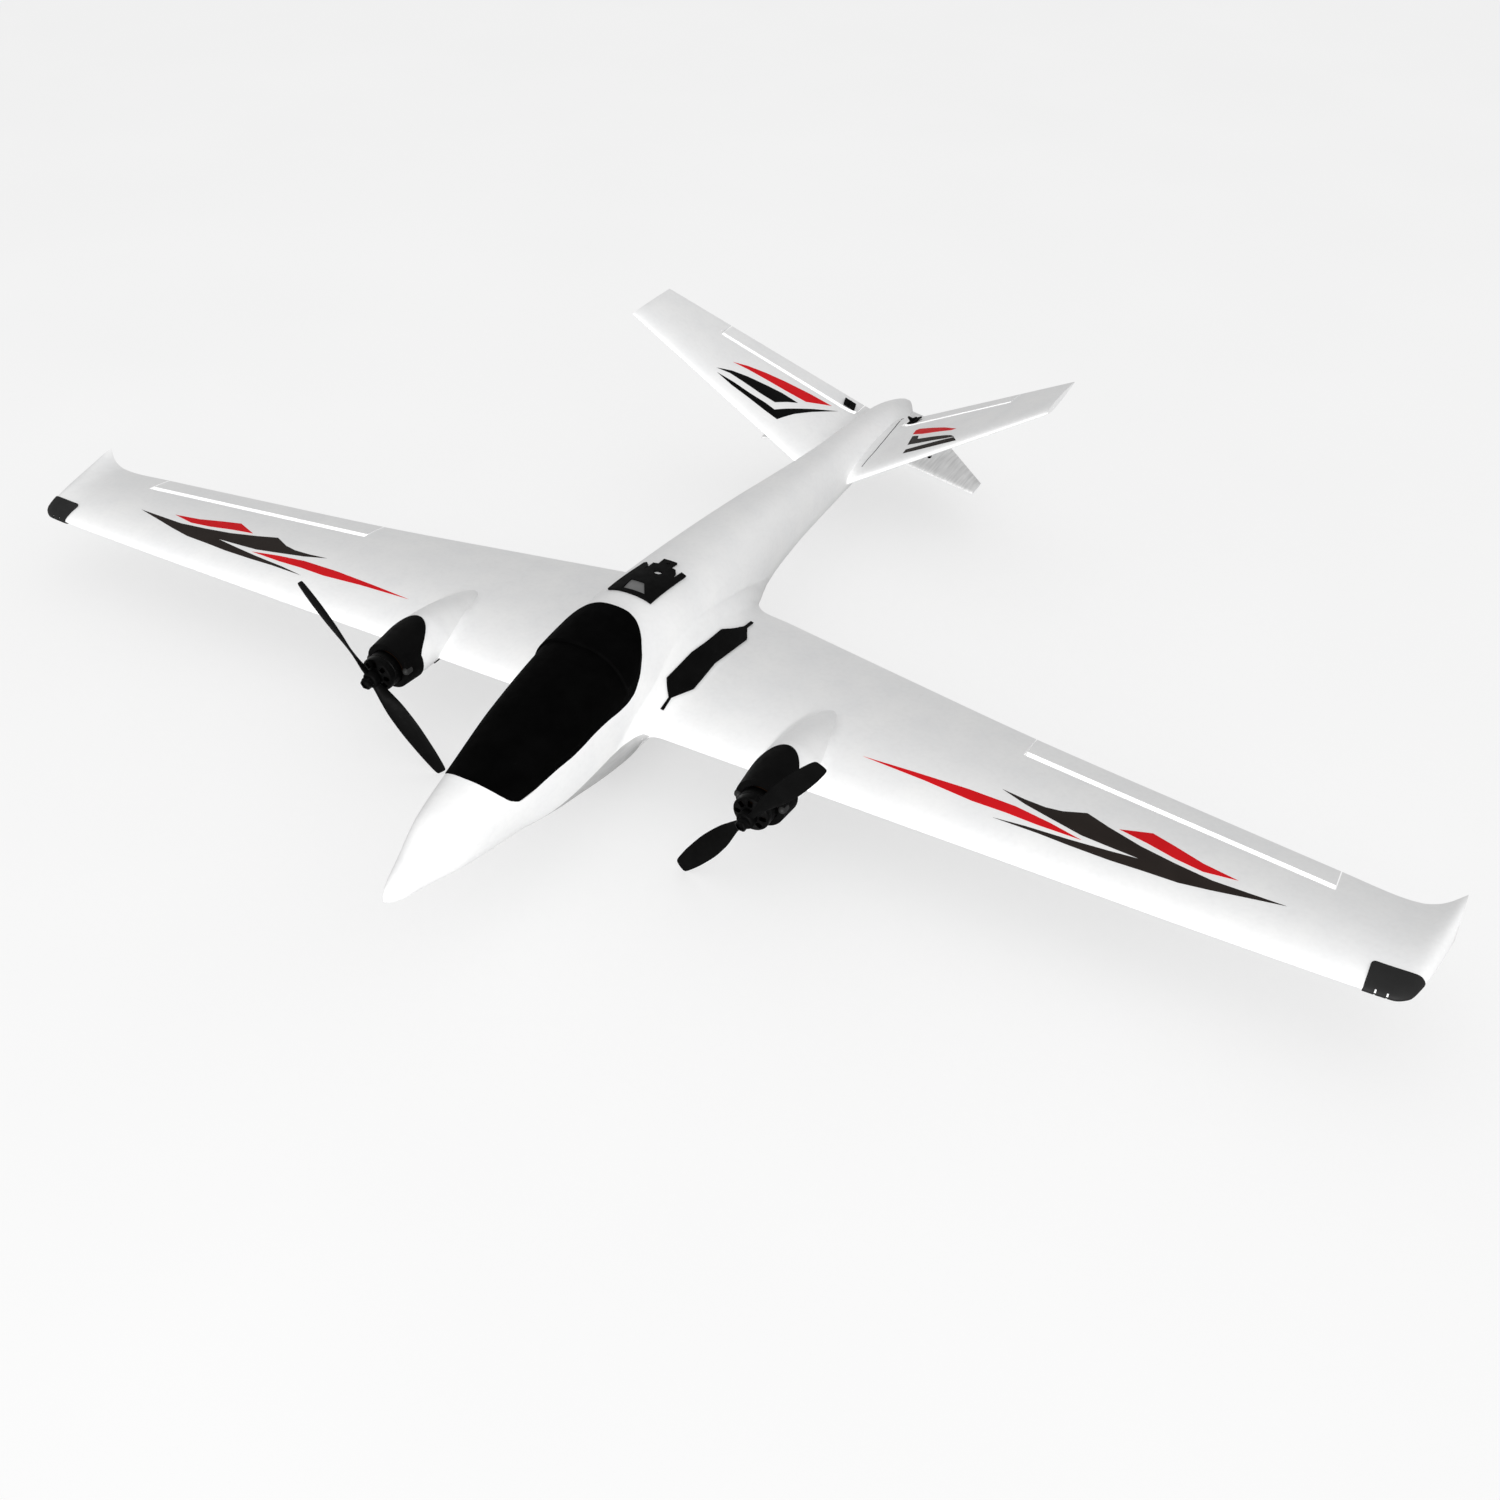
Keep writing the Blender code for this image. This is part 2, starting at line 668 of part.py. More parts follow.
def canopy_hatch():
    """The hatch follows the body, with a raised lip over its rear part for lifting it off."""
    rings = []
    for station in (60, 80, 95, 110, 125, 145, 165, 190, 212, LIP_STATION - 0.6):
        rings.append(body_section(station * MM, HATCH_PROUD))
    for station in (LIP_STATION, 240, 251, 262, 275, 290):
        rings.append(body_section(station * MM, HATCH_LIP))
    hatch = part("canopy_hatch", loft(rings, "canopy_hatch"), BLACK_PLASTIC)
    inside = tool("hatch_inside", body_loft("hatch_inside", 50 * MM, 330 * MM, 18, -HATCH_THICKNESS))
    outline = tool("hatch_trim", prism(hatch_outline(GAP), 20 * MM + GAP, 95 * MM, "hatch_trim"))
    boolean(hatch, inside, "DIFFERENCE")
    boolean(hatch, outline, "INTERSECT")
    smooth(hatch)


def fitted_plate(name, low, high, spec):
    """A plate whose edges follow the wall of the equipment bay."""
    plate = part(name, box_mesh(at_mm(*low), at_mm(*high), name), spec)
    wall = tool(name + "_edge", body_loft(name + "_edge", 60 * MM, 420 * MM, 20, -FOAM_WALL - GAP, 28))
    boolean(plate, wall, "INTERSECT")
    return plate


def equipment():
    tray = fitted_plate("equipment_tray", (-30, 118, -9), (30, 334, -7), PLYWOOD)
    for x in (-17.3, 17.3):
        slot = box_mesh(at_mm(x - 1, 165.6, -12), at_mm(x + 1, 186.4, -5), "strap_slot")
        boolean(tray, tool(f"strap_slot_{x:+.0f}", slot), "DIFFERENCE")
    fitted_plate("hatch_keeper_bridge", (-30, 255, 56), (30, 268, 58), PLYWOOD)
    magnet = cylinder_mesh(4 * MM, 3 * MM, "hatch_magnet")
    part("hatch_magnet", magnet, STEEL, Matrix.Translation(at_mm(0, 262, 62.6)))
    boxes = (
        ("flight_battery", (-16, 124, -6.6), (16, 228, 19.4), 2.0, BATTERY_WRAP),
        ("flight_controller", (-15, 243, -6.6), (15, 279, 5.4), 0.8, CIRCUIT),
        ("radio_receiver", (-11, 301, -6.6), (11, 326, 1.4), 0.8, BLACK_PLASTIC),
    )
    for name, low, high, bevel, spec in boxes:
        part(name, box_mesh(at_mm(*low), at_mm(*high), name, bevel * MM), spec)
    strap = part("battery_strap", box_mesh(at_mm(-18, 166, -11), at_mm(18, 186, 21), "strap", 0.8 * MM), WEBBING)
    hole = box_mesh(at_mm(-16.6, 160, -9.5), at_mm(16.6, 190, 20), "strap_inside")
    boolean(strap, tool("strap_inside", hole), "DIFFERENCE")


def belly_skid():
    """A landing skid under the wing: flat below, fitted to the belly above."""
    block = box_mesh(at_mm(-17, 236, BASE_HEIGHT / MM), at_mm(17, 352, -34), "belly_skid", 1.2 * MM)
    skid = part("belly_skid", block, BLACK_PLASTIC)
    belly = tool("belly", body_loft("belly", 150 * MM, 450 * MM, 18, GAP))
    boolean(skid, belly, "DIFFERENCE")


def tube(name, station, height, radius, wall, half):
    """A straight carbon tube across the aeroplane."""
    place = Matrix.Translation(at(0, station, height)) @ Matrix.Rotation(math.pi / 2, 4, "Y")
    profile = ((radius, half), (radius, -half), (radius - wall, -half), (radius - wall, half))
    turned(name, profile, CARBON, place, 24)


# ---- conforming plates


def conform(name, outline, frame, target, low, high, pitch, spec):
    """A plate over a convex outline in the frame's XY plane, laid along Z onto a target surface."""
    xs = [p[0] for p in outline]
    ys = [p[1] for p in outline]
    centre = Vector(((min(xs) + max(xs)) / 2, (min(ys) + max(ys)) / 2, 0))
    reach = max(max(xs) - min(xs), max(ys) - min(ys)) / 2 + pitch
    bm = bmesh.new()
    cells = max(2, round(2 * reach / pitch))
    move = Matrix.Translation(centre)
    bmesh.ops.create_grid(bm, x_segments=cells, y_segments=cells, size=reach, matrix=move)
    for here, after in zip(outline, outline[1:] + outline[:1]):
        along = Vector((after[0] - here[0], after[1] - here[1], 0))
        outward = Vector((along.y, -along.x, 0))
        geometry = bm.verts[:] + bm.edges[:] + bm.faces[:]
        plane = Vector((here[0], here[1], 0))
        bmesh.ops.bisect_plane(
            bm, geom=geometry, dist=1e-6, plane_co=plane, plane_no=outward, clear_outer=True
        )
    down = frame.to_3x3() @ Vector((0, 0, -1))
    heights = {}
    for v in bm.verts:
        start = frame @ v.co
        hit, normal, _, _ = target.ray_cast(start, down)
        heights[v] = (hit + normal * low, hit + normal * high)
    raised = bmesh.ops.extrude_face_region(bm, geom=bm.faces[:])
    lifted = [g for g in raised["geom"] if isinstance(g, bmesh.types.BMVert)]
    below = {tuple(round(c, 7) for c in v.co): pair for v, pair in heights.items()}
    for v in lifted:
        v.co = below[tuple(round(c, 7) for c in v.co)][1]
    for v, pair in heights.items():
        v.co = pair[0]
    return part(name, mesh_from(bm, name), spec)


def surface_of(made):
    mesh = baked(made)
    bm = bmesh.new()
    bm.from_mesh(mesh)
    found = BVHTree.FromBMesh(bm)
    bm.free()
    return found


def root_cover(name, side, target):
    """The black cover over the wing-root connector, lying in the fillet beside the body."""
    lean = Matrix.Rotation(side * ROOT_COVER_LEAN, 4, "Y")
    middle = Matrix.Translation(at_mm(side * 53, 0, 18.5))
    frame = middle @ lean @ Matrix.Translation((0, 0, 50 * MM))
    outline = [(side * x * MM, y * MM) for x, y in ROOT_COVER_OUTLINE]
    if side < 0:
        outline = outline[::-1]
    conform(name, outline, frame, target, GAP, GAP + 1.4 * MM, 6 * MM, BLACK_PLASTIC)


def accessory_plate(target):
    """The spine plate behind the hatch: it follows the spine and carries a flat pad and a rear tab."""
    frame = Matrix.Translation(at_mm(0, 0, 110))
    outline = [(x * MM, y * MM) for x, y in ACCESSORY_OUTLINE]
    plate = conform("accessory_plate", outline, frame, target, 0, 1.5 * MM, 5 * MM, BLACK_PLASTIC)
    pad = box_mesh(at_mm(-8, 309, 66.5), at_mm(8, 335, ACCESSORY_PAD / MM), "accessory_pad", 0.6 * MM)
    boolean(plate, tool("accessory_pad", pad), "UNION")
    tab = box_mesh(at_mm(-6, 344, 64), at_mm(6, 354.5, 67), "accessory_tab", 0.4 * MM)
    boolean(plate, tool("accessory_tab", tab), "UNION")
    under = tool("spine", body_loft("spine", 280 * MM, 380 * MM, 12, GAP, 48))
    boolean(plate, under, "DIFFERENCE")


# ---- wings


def wing(name, side):
    panel = part(name, wing_mesh(name, side), WHITE_FOAM)
    boolean(panel, tool(name + "_nacelle", nacelle_mesh(name + "_nacelle", side)), "UNION")
    boolean(panel, bpy.data.objects["spar_bore"], "DIFFERENCE")
    boolean(panel, bpy.data.objects["joiner_bore"], "DIFFERENCE")
    low = at_mm(POD_X / MM - 11.5, 239.5, -40)
    high = at_mm(POD_X / MM + 11.5, 276.5, -7.4)
    if side < 0:
        low.x, high.x = -high.x, -low.x
    boolean(panel, tool(name + "_controller_bay", box_mesh(low, high, name + "_controller_bay")), "DIFFERENCE")
    smooth(panel)
    return panel


def wingtip_guard(name, side):
    """A thin plastic guard that wraps the leading edge at the tip."""
    guard = part(name, wing_mesh(name, side, 1.2 * MM, 1.2 * MM), BLACK_PLASTIC)
    inner = tool(name + "_inside", wing_mesh(name + "_inside", side, GAP, GAP))
    xs = sorted((side * 560 * MM, side * 612 * MM))
    trim = box_mesh(at(xs[0], 225 * MM, -30 * MM), at(xs[1], 256 * MM, 30 * MM), name + "_trim", 3 * MM)
    boolean(guard, inner, "DIFFERENCE")
    boolean(guard, tool(name + "_trim", trim), "INTERSECT")
    smooth(guard)


def aileron(name, side, panel):
    surface = part(name, wing_mesh(name, side), WHITE_FOAM)
    cut_surface(panel, surface, aileron_hinge(side), 45 * MM, AILERON_END_GAP, name)
    smooth(surface)


# ---- motors and propellers


def motor_frame(side):
    """Local Z points forward along the motor shaft, and local Y points up."""
    axes = Matrix(((1, 0, 0), (0, 0, -1), (0, 1, 0))).to_4x4()
    return Matrix.Translation(at(side * POD_X, MOTOR_FACE, MOTOR_HEIGHT)) @ axes


def motor_mount(name, side):
    """Front bulkhead with a recess for the motor, and a dome that runs back over the nacelle."""
    outer = nacelle_mesh(name, side, MOUNT_SKIN, first=MOUNT_FRONT, last=256)
    mount = part(name, outer, BLACK_PLASTIC)
    inner = tool(name + "_inside", nacelle_mesh(name + "_inside", side, GAP, first=209.2, last=262))
    boolean(mount, inner, "DIFFERENCE")
    boolean(mount, tool(name + "_slant", dome_cut(name + "_slant", side)), "DIFFERENCE")
    seat = cylinder_mesh(MOTOR_SEAT_RADIUS, 14 * MM, name + "_seat", 32)
    place = motor_frame(side) @ Matrix.Translation((0, 0, 7 * MM - GAP))
    boolean(mount, tool(name + "_seat", seat, place), "DIFFERENCE")
    smooth(mount)


def dome_cut(name, side):
    """The space behind the dome's edge: upright beside the nacelle, then sloping aft over its crest."""
    bm = bmesh.new()
    low = side * POD_X - 40 * MM
    foot = [bm.verts.new(at(low, st * MM, height * MM)) for st, height in DOME_EDGE]
    raised = bmesh.ops.extrude_face_region(bm, geom=[bm.faces.new(foot)])
    lifted = [g for g in raised["geom"] if isinstance(g, bmesh.types.BMVert)]
    bmesh.ops.translate(bm, verts=lifted, vec=(80 * MM, 0, 0))
    return mesh_from(bm, name)


def motor(side, label):
    frame = motor_frame(side)
    bore = 2.6
    stator = ((bore, 14.2), (11.6, 14.2), (11.6, 5), (5, 5), (5, 2.4), (12, 2.4), (12, 0), (bore, 0))
    bell = (
        (0, 32), (2.5, 32), (2.5, 20), (6, 20), (7.4, 19.2), (13, 18.4), (14, 17.6), (14, 5.2),
        (12.3, 5.2), (12.3, 15.6), (2.5, 15.6), (2.5, 0.8), (0, 0.8),
    )
    turned("motor_stator_" + label, scaled(stator), COPPER, frame, 28)
    turned("motor_bell_" + label, scaled(bell), BLACK_METAL, frame, 28)
    nut = ((3.1, 33), (4.2, 32.6), (5, 31.4), (5, 27.7), (3.1, 27.7))
    turned("prop_nut_" + label, scaled(nut), BLACK_METAL, frame, 6)


def scaled(points):
    return [(x * MM, y * MM) for x, y in points]


def blade_mesh(name, side, turn):
    """One blade along local X, twisted to its pitch, turned about the shaft."""
    rings = []
    for radius, chord, thick in PROP_BLADE:
        pitch = math.atan(PROP_PITCH / (2 * math.pi * max(radius, 12) * MM))
        ring = []
        for u, v in BLADE_SECTION:
            y = u * chord * math.cos(pitch) - v * thick * math.sin(pitch)
            z = u * chord * math.sin(pitch) + v * thick * math.cos(pitch)
            point = Vector((radius * MM, side * y * MM, (z + PROP_HUB_MIDDLE) * MM))
            ring.append(turn @ point)
        rings.append(ring)
    return loft(rings, name)


def propeller(name, side):
    frame = motor_frame(side) @ Matrix.Rotation(side * PROP_ANGLE, 4, "Z")
    hub = scaled(((2.6, 27.4), (5.8, 27.4), (6.6, 26.6), (6.6, 20.3), (2.6, 20.3)))
    made = turned(name, hub, BLACK_PLASTIC, frame, 28)
    for label, angle in (("_blade_a", 0), ("_blade_b", math.pi)):
        turn = Matrix.Rotation(angle, 3, "Z")
        boolean(made, tool(name + label, blade_mesh(name + label, side, turn), frame), "UNION")


def speed_controller(name, side):
    x = side * POD_X / MM
    low, high = at_mm(x - 11, 240, -14), at_mm(x + 11, 276, -7.8)
    part(name, box_mesh(low, high, name, 0.8 * MM), BLACK_PLASTIC)


# ---- tail


def tail_panel(name, side):
    panel = part(name, tail_mesh(name, side), WHITE_FOAM)
    boolean(panel, bpy.data.objects["body_clearance"], "DIFFERENCE")
    boolean(panel, bpy.data.objects["tail_joiner_bore"], "DIFFERENCE")
    smooth(panel)
    return panel


def ruddervator(name, side, panel):
    surface = part(name, tail_mesh(name, side), WHITE_FOAM)
    cut_surface(panel, surface, tail_hinge(side), 60 * MM, TAIL_END_GAP, name)
    smooth(surface)


def ventral_fin(name, side):
    """A thin tapered fin, spreading outwards and down from the tail cone."""
    rings = []
    root, tip = FIN_ROOT, FIN_TIP
    for x in (7, 40, 76, tip[0]):
        t = (x - root[0]) / (tip[0] - root[0])
        out = max(t, 0)
        leading, trailing = (root[i] + (tip[i] - root[i]) * out for i in (1, 2))
        height = root[3] + (tip[3] - root[3]) * t
        chord = trailing - leading
        half = 2.2 - 0.9 * out
        cuts = ((0, 0), (0.06, 0.7), (0.3, 1), (0.7, 0.8), (1, 0.35))
        upper = [at_mm(x, leading + s * chord, height + h * half) for s, h in cuts]
        lower = [at_mm(x, leading + s * chord, height - h * half) for s, h in cuts[:0:-1]]
        rings.append(upper + lower)
    fin = part(name, loft([mirrored(ring, side) for ring in rings], name), WHITE_FOAM)
    boolean(fin, bpy.data.objects["body_clearance"], "DIFFERENCE")
    smooth(fin)


# ---- servos and linkages


def linkage(label, side, hinge, along, reach, rise, body, panel):
    """Servo in the panel's underside, its arm, the pushrod and the control horn.

    The arm is as long as the horn is deep, so the two and the pushrod form a parallelogram.
    """
    standing = Matrix(((0, 0, 1), (1, 0, 0), (0, 1, 0))).to_4x4()
    frame = hinge.matrix(along)
    shaft = frame @ Matrix.Translation((0, -reach, rise))
    length, width, depth = body
    low = [3.0 * side, -0.3 * length, -width / 2]
    high = [(3.0 + depth) * side, 0.7 * length, width / 2]
    low[0], high[0] = sorted((low[0], high[0]))
    name = label + "_servo"
    case = part(name, box_mesh(Vector(low) * MM, Vector(high) * MM, name, 0.5 * MM), BLACK_PLASTIC, shaft)
    boss = cylinder_mesh(2.8 * MM, 2.6 * MM, name + "_boss", 20)
    sideways = shaft @ Matrix.Translation((2.4 * side * MM, 0, 0)) @ Matrix.Rotation(math.pi / 2, 4, "Y")
    boolean(case, tool(name + "_boss", boss, sideways), "UNION")
    pocket_low = [low[0] - 0.4, low[1] - 0.4, -30]
    pocket_high = [high[0] + 0.4, high[1] + 0.4, width / 2 + 0.4]
    if side > 0:
        pocket_low[0] = -1.6
    else:
        pocket_high[0] = 1.6
    pocket = box_mesh(Vector(pocket_low) * MM, Vector(pocket_high) * MM, name + "_pocket")
    boolean(panel, tool(name + "_pocket", pocket, shaft), "DIFFERENCE")
    sweep = box_mesh(
        Vector((-3.4, -9, -30)) * MM, Vector((3.4, 9, 4.4)) * MM, name + "_arm_slot"
    )
    boolean(panel, tool(name + "_arm_slot", sweep, shaft), "DIFFERENCE")
    name = label + "_servo_arm"
    deep = HORN_RADIUS
    outline = rounded_bar(3.4 * MM, 2.0 * MM, deep)
    arm = flat_piece(name, outline, [((0, -deep), 0.9 * MM)], 1.4 * MM, shaft @ standing)
    part(name, arm, BLACK_PLASTIC, shaft @ standing)
    name = label + "_horn"
    outline = scaled(HORN_OUTLINE)
    plate = flat_piece(name, outline, [((0, -deep), 0.9 * MM)], 1.6 * MM, frame @ standing)
    horn = part(name, plate, BLACK_PLASTIC, frame @ standing)
    flange = box_mesh(Vector((-3.6, 2, -1.9)) * MM, Vector((3.6, 14, -0.6)) * MM, name + "_flange", 0.3 * MM)
    boolean(horn, tool(name + "_flange", flange, frame), "UNION")
    pushrod(label + "_pushrod", side, frame, reach, rise)


def rounded_bar(big, small, length):
    """A bar from a big round end at the origin down to a small round end."""
    top = [(big * math.cos(a), big * math.sin(a)) for a in np.linspace(0, math.pi, 9)]
    low = [
        (small * math.cos(a), -length + small * math.sin(a))
        for a in np.linspace(math.pi, 2 * math.pi, 9)
    ]
    return top + low


def pushrod(name, side, frame, reach, rise):
    curve = bpy.data.curves.new(name, "CURVE")
    curve.dimensions = "3D"
    curve.bevel_depth = ROD_RADIUS
    curve.bevel_resolution = 1
    curve.use_fill_caps = True
    near, far = 1.5 * MM * side, -2.3 * MM * side
    deep = -HORN_RADIUS
    route = ((near, 0, deep), (far, 0, deep), (far, -reach, rise + deep), (near, -reach, rise + deep))
    spline = curve.splines.new("POLY")
    spline.points.add(len(route) - 1)
    for point, place in zip(spline.points, route):
        point.co = (*place, 1)
    made = bpy.data.objects.new(name, curve)
    AEROPLANE.objects.link(made)
    made.matrix_world = frame
    curve.materials.append(material(STEEL))


def top_horn(name, side, hinge, along):
    """The horn with its base plate on top of the ruddervator's inner end."""
    frame = hinge.matrix(along)
    base = box_mesh(Vector((-6.2, 5.4, 5.7)) * MM, Vector((6.2, 15.5, 7.2)) * MM, name, 0.3 * MM)
    block = part(name, base, BLACK_PLASTIC, frame)
    standing = Matrix(((0, 0, 1), (1, 0, 0), (0, 1, 0))).to_4x4()
    fin = flat_piece(name + "_fin", scaled(TOP_HORN_FIN), [], 1.6 * MM, frame @ standing)
    boolean(block, tool(name + "_fin", fin, frame @ standing), "UNION")


# ---- the aeroplane

BODY_CURVES = [curve_through(BODY_SECTIONS, column) for column in range(1, 6)]

clear_scene()
AEROPLANE = new_collection("twin_motor_foam_aeroplane")
TOOLS = new_collection("construction_shapes")

FUSELAGE_CUTTERS = fuselage_cutters()
tool("body_clearance", body_loft("body_clearance", 560 * MM, LENGTH, 16, GAP))
SIDES = (("left", 1), ("right", -1))
for label, side in SIDES:
    fuselage_half("fuselage_" + label, side)
canopy_hatch()
equipment()
belly_skid()
tube("wing_spar", SPAR_STATION, SPAR_HEIGHT, SPAR_RADIUS, 1 * MM, SPAR_HALF)
tube("wing_joiner", JOINER_STATION, JOINER_HEIGHT, JOINER_RADIUS, 0.7 * MM, JOINER_HALF)
tube("tail_joiner", TAIL_JOINER_STATION, TAIL_JOINER_HEIGHT, TAIL_JOINER_RADIUS, 0.5 * MM, TAIL_JOINER_HALF)
for label, side in SIDES:
    panel = wing("wing_" + label, side)
    wingtip_guard("wingtip_guard_" + label, side)
    aileron("aileron_" + label, side, panel)
    linkage("aileron_" + label, side, aileron_hinge(side), 92 * MM, 48 * MM, 1.6 * MM, AILERON_SERVO, panel)
    motor_mount("motor_mount_" + label, side)
    motor(side, label)
    propeller("propeller_" + label, side)
    speed_controller("speed_controller_" + label, side)
    panel = tail_panel("tail_panel_" + label, side)
    ruddervator("ruddervator_" + label, side, panel)
    hinge = tail_hinge(side)
    linkage("ruddervator_" + label, side, hinge, 84 * MM, 52 * MM, 1.5 * MM, TAIL_SERVO, panel)
    top_horn("ruddervator_top_horn_" + label, side, hinge, 8.2 * MM)
    ventral_fin("ventral_fin_" + label, side)
bpy.context.view_layer.update()
for label, side in SIDES:
    root_cover("wing_root_cover_" + label, side, surface_of(bpy.data.objects["fuselage_" + label]))
accessory_plate(surface_of(tool("spine_skin", body_loft("spine_skin", 270 * MM, 390 * MM, 16, GAP, 48))))
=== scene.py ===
"""Twin-motor V-tail foam aeroplane: finished surfaces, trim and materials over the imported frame.

Stations run aft from the nose tip and heights run up from the wing's chord plane, both in millimetres.
The frame has +Z up, the nose towards -Y and the left wing towards +X.
"""

import json
import math

import bmesh
import bpy
import numpy as np
from mathutils import Matrix, Vector
from mathutils.bvhtree import BVHTree


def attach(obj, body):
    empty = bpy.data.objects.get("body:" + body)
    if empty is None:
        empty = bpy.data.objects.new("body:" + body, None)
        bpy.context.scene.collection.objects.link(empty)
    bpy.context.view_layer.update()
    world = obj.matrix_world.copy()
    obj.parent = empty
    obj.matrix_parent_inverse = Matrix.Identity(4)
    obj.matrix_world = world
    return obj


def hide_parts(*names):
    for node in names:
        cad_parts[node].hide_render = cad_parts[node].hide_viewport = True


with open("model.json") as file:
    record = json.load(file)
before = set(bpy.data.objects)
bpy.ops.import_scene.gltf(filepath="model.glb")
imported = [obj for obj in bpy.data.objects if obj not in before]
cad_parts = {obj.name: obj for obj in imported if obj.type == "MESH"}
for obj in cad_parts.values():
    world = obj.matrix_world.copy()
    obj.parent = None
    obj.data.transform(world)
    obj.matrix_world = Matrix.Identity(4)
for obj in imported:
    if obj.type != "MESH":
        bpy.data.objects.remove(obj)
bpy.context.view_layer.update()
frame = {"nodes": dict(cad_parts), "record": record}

MM = 0.001
LENGTH = 816 * MM
WING_LEVEL = 67 * MM
# Clearance between neighbouring parts
GAP = 0.3
SIDES = (("left", 1), ("right", -1))

# Body: station, half width, top, bottom, height of the widest point, squareness
BODY_SECTIONS = (
    (0, 0.5, 10, 8, 9, 2.0), (4, 4.1, 13.6, 4.6, 9, 2.0), (12, 7.8, 17.5, 1, 9, 2.0),
    (25, 11.6, 22.5, -2, 10.3, 2.0), (60, 21.3, 36.4, -10.8, 12.8, 2.2), (105, 28, 46, -19, 13.5, 2.4),
    (160, 35.5, 57, -27, 15, 2.5), (219, 41.5, 64.5, -37, 13.7, 2.5), (260, 43, 68.8, -41.5, 13.5, 2.4),
    (300, 43, 69.6, -42.5, 13.5, 2.4), (350, 42, 65.6, -40, 13.5, 2.4), (431, 34.8, 59.6, -31, 14.2, 2.4),
    (489, 28.8, 53.3, -20.5, 16.5, 2.4), (551, 24.4, 45, -18, 13.7, 2.3), (616, 20.9, 36, -18, 9, 2.3),
    (740, 16.5, 23, -19, 1, 2.2), (790, 9.6, 9.5, -20.5, -5, 2.1), (811, 3.2, -2.5, -21, -11, 2.0),
    (813.5, 2.3, -5, -20.8, -12, 2.0), (816, 1.4, -12, -20.5, -16, 2.0),
)
# Wing: span position, leading edge, trailing edge, upward sweep of the tip
WING_SECTIONS = (
    (75, 238.5, 406.6, 0), (183, 238.5, 386, 0), (302, 238.5, 364.3, 0), (428, 238.5, 346, 0),
    (528, 239.2, 332, 0), (565, 240, 327, 0), (578, 240.4, 326.6, 1), (587, 245, 328, 3.4),
    (593, 260, 330.5, 6), (599, 286, 334.8, 9.5), (602, 303, 337, 11.5),
)
AEROFOIL_THICKNESS = 0.11
AEROFOIL_CAMBER = 0.025
# How far the chord line rises from the leading to the trailing edge
WING_TILT = 4
ROOT_CHORD = 168.1
WING_TIP = 602
TIP_START = 560
# Wing root blend: span position, leading edge, trailing edge, rise of its top, fall of its underside
FAIRING_SECTIONS = (
    (26, 198, 470, 34, 20), (34, 194, 446, 34, 20), (36, 192, 438, 33.5, 19.5), (38, 193, 432, 32.4, 18.5),
    (40, 203, 425, 29.4, 16), (42, 216, 418.5, 24.3, 13), (43, 219.5, 417.2, 20.9, 11),
    (44, 223, 416, 17.6, 9), (46, 229, 414, 13.2, 6), (50, 235, 411.3, 7.8, 2.6),
    (54, 237.5, 409.8, 4.4, 1.2), (60, 238.5, 408.6, 1.7, 0.4), (66, 238.5, 407.8, 0.5, 0.1),
    (75, 238.5, 406.6, 0, 0),
)
# Nacelle: station and radius about the motor axis
NACELLE_SECTIONS = (
    (200, 18), (217, 19.4), (230, 20.3), (245, 20.1), (258, 18.8), (275, 16), (290, 12.3), (303, 8.6),
    (309, 6.2), (313, 3.4),
)
POD_X = 162.4
MOTOR_HEIGHT = 5.6
MOTOR_FACE = 206
# The wing's swelling at the nacelle: stations where it starts, is full, eases and ends
COLLAR_STATIONS = (238, 252, 276, 311)
COLLAR_RISE = 3.4
COLLAR_BELOW = 0.7
COLLAR_REACH = 6
PROP_ANGLE = math.radians(52)
PROP_PITCH = 102
PROP_LEVEL = 23.8
# Half of the hatch's outline in plan: distance from the middle, station
HATCH_OUTLINE = (
    (0, 90.4), (6.8, 90.8), (13.4, 91.9), (18.5, 93.8), (22.7, 96.6), (26.1, 100.9), (28.2, 108),
    (30.1, 120.8), (32.4, 137.5), (35.2, 159.2), (37.2, 178.1), (39.2, 200.2), (40.4, 214), (41, 226),
    (41, 236), (39.4, 246), (35, 256.5), (29, 265.6), (21.5, 271.8), (13.4, 274.6), (5.3, 275.2), (0, 275.3),
)
HATCH_THICKNESS = 3.6
HATCH_RISE = 0.4
LIP_RISE = 2.3
LIP_STATION = 227
SHELL_WALL = 7
# Hinge lines: inner and outer end as (span position, station)
AILERON_HINGE = ((302, 338.7), (527, 309.6))
TAIL_HINGE = ((28.5, 734.5), (148.2, 685.2))
GROOVE_SLOPE = math.tan(math.radians(38))
# Servo: distance along the hinge, reach ahead of it, rise, size of its body
AILERON_SERVO = (92, 48, 1.6, (22, 8.6, 20))
TAIL_SERVO = (84, 52, 1.5, (20, 7.6, 17))
TAIL_LEADING = 620
TAIL_TRAILING = 684.5
TAIL_TIP_X = 200
TAIL_TIP_HEIGHT = 120
TAIL_SLOPE = 0.651
TAIL_LEAN = math.atan(TAIL_SLOPE)
# The tail's aerofoil is this much thinner than the wing's
TAIL_THICKNESS = 0.82
# The tail's blend into the body: where it begins, how far it takes to reach its rise, and its limit
FLARE_X = 40
FLARE_SPAN = 24
FLARE_RISE = 18
FLARE_LIMIT = 22
# Side view of the cut behind the motor mount's dome: station, height
DOME_EDGE = ((218, -40), (218, 12), (221.5, 16), (229, 20.5), (237, 24), (246, 28.5), (262, 38), (262, -40))


# ---- objects


def at_mm(x, station, height):
    return Vector((x * MM, station * MM - LENGTH / 2, height * MM + WING_LEVEL))


def new_object(name, mesh, matrix=None):
    made = bpy.data.objects.new(name, mesh)
    bpy.context.scene.collection.objects.link(made)
    if matrix:
        made.matrix_world = matrix
    return made


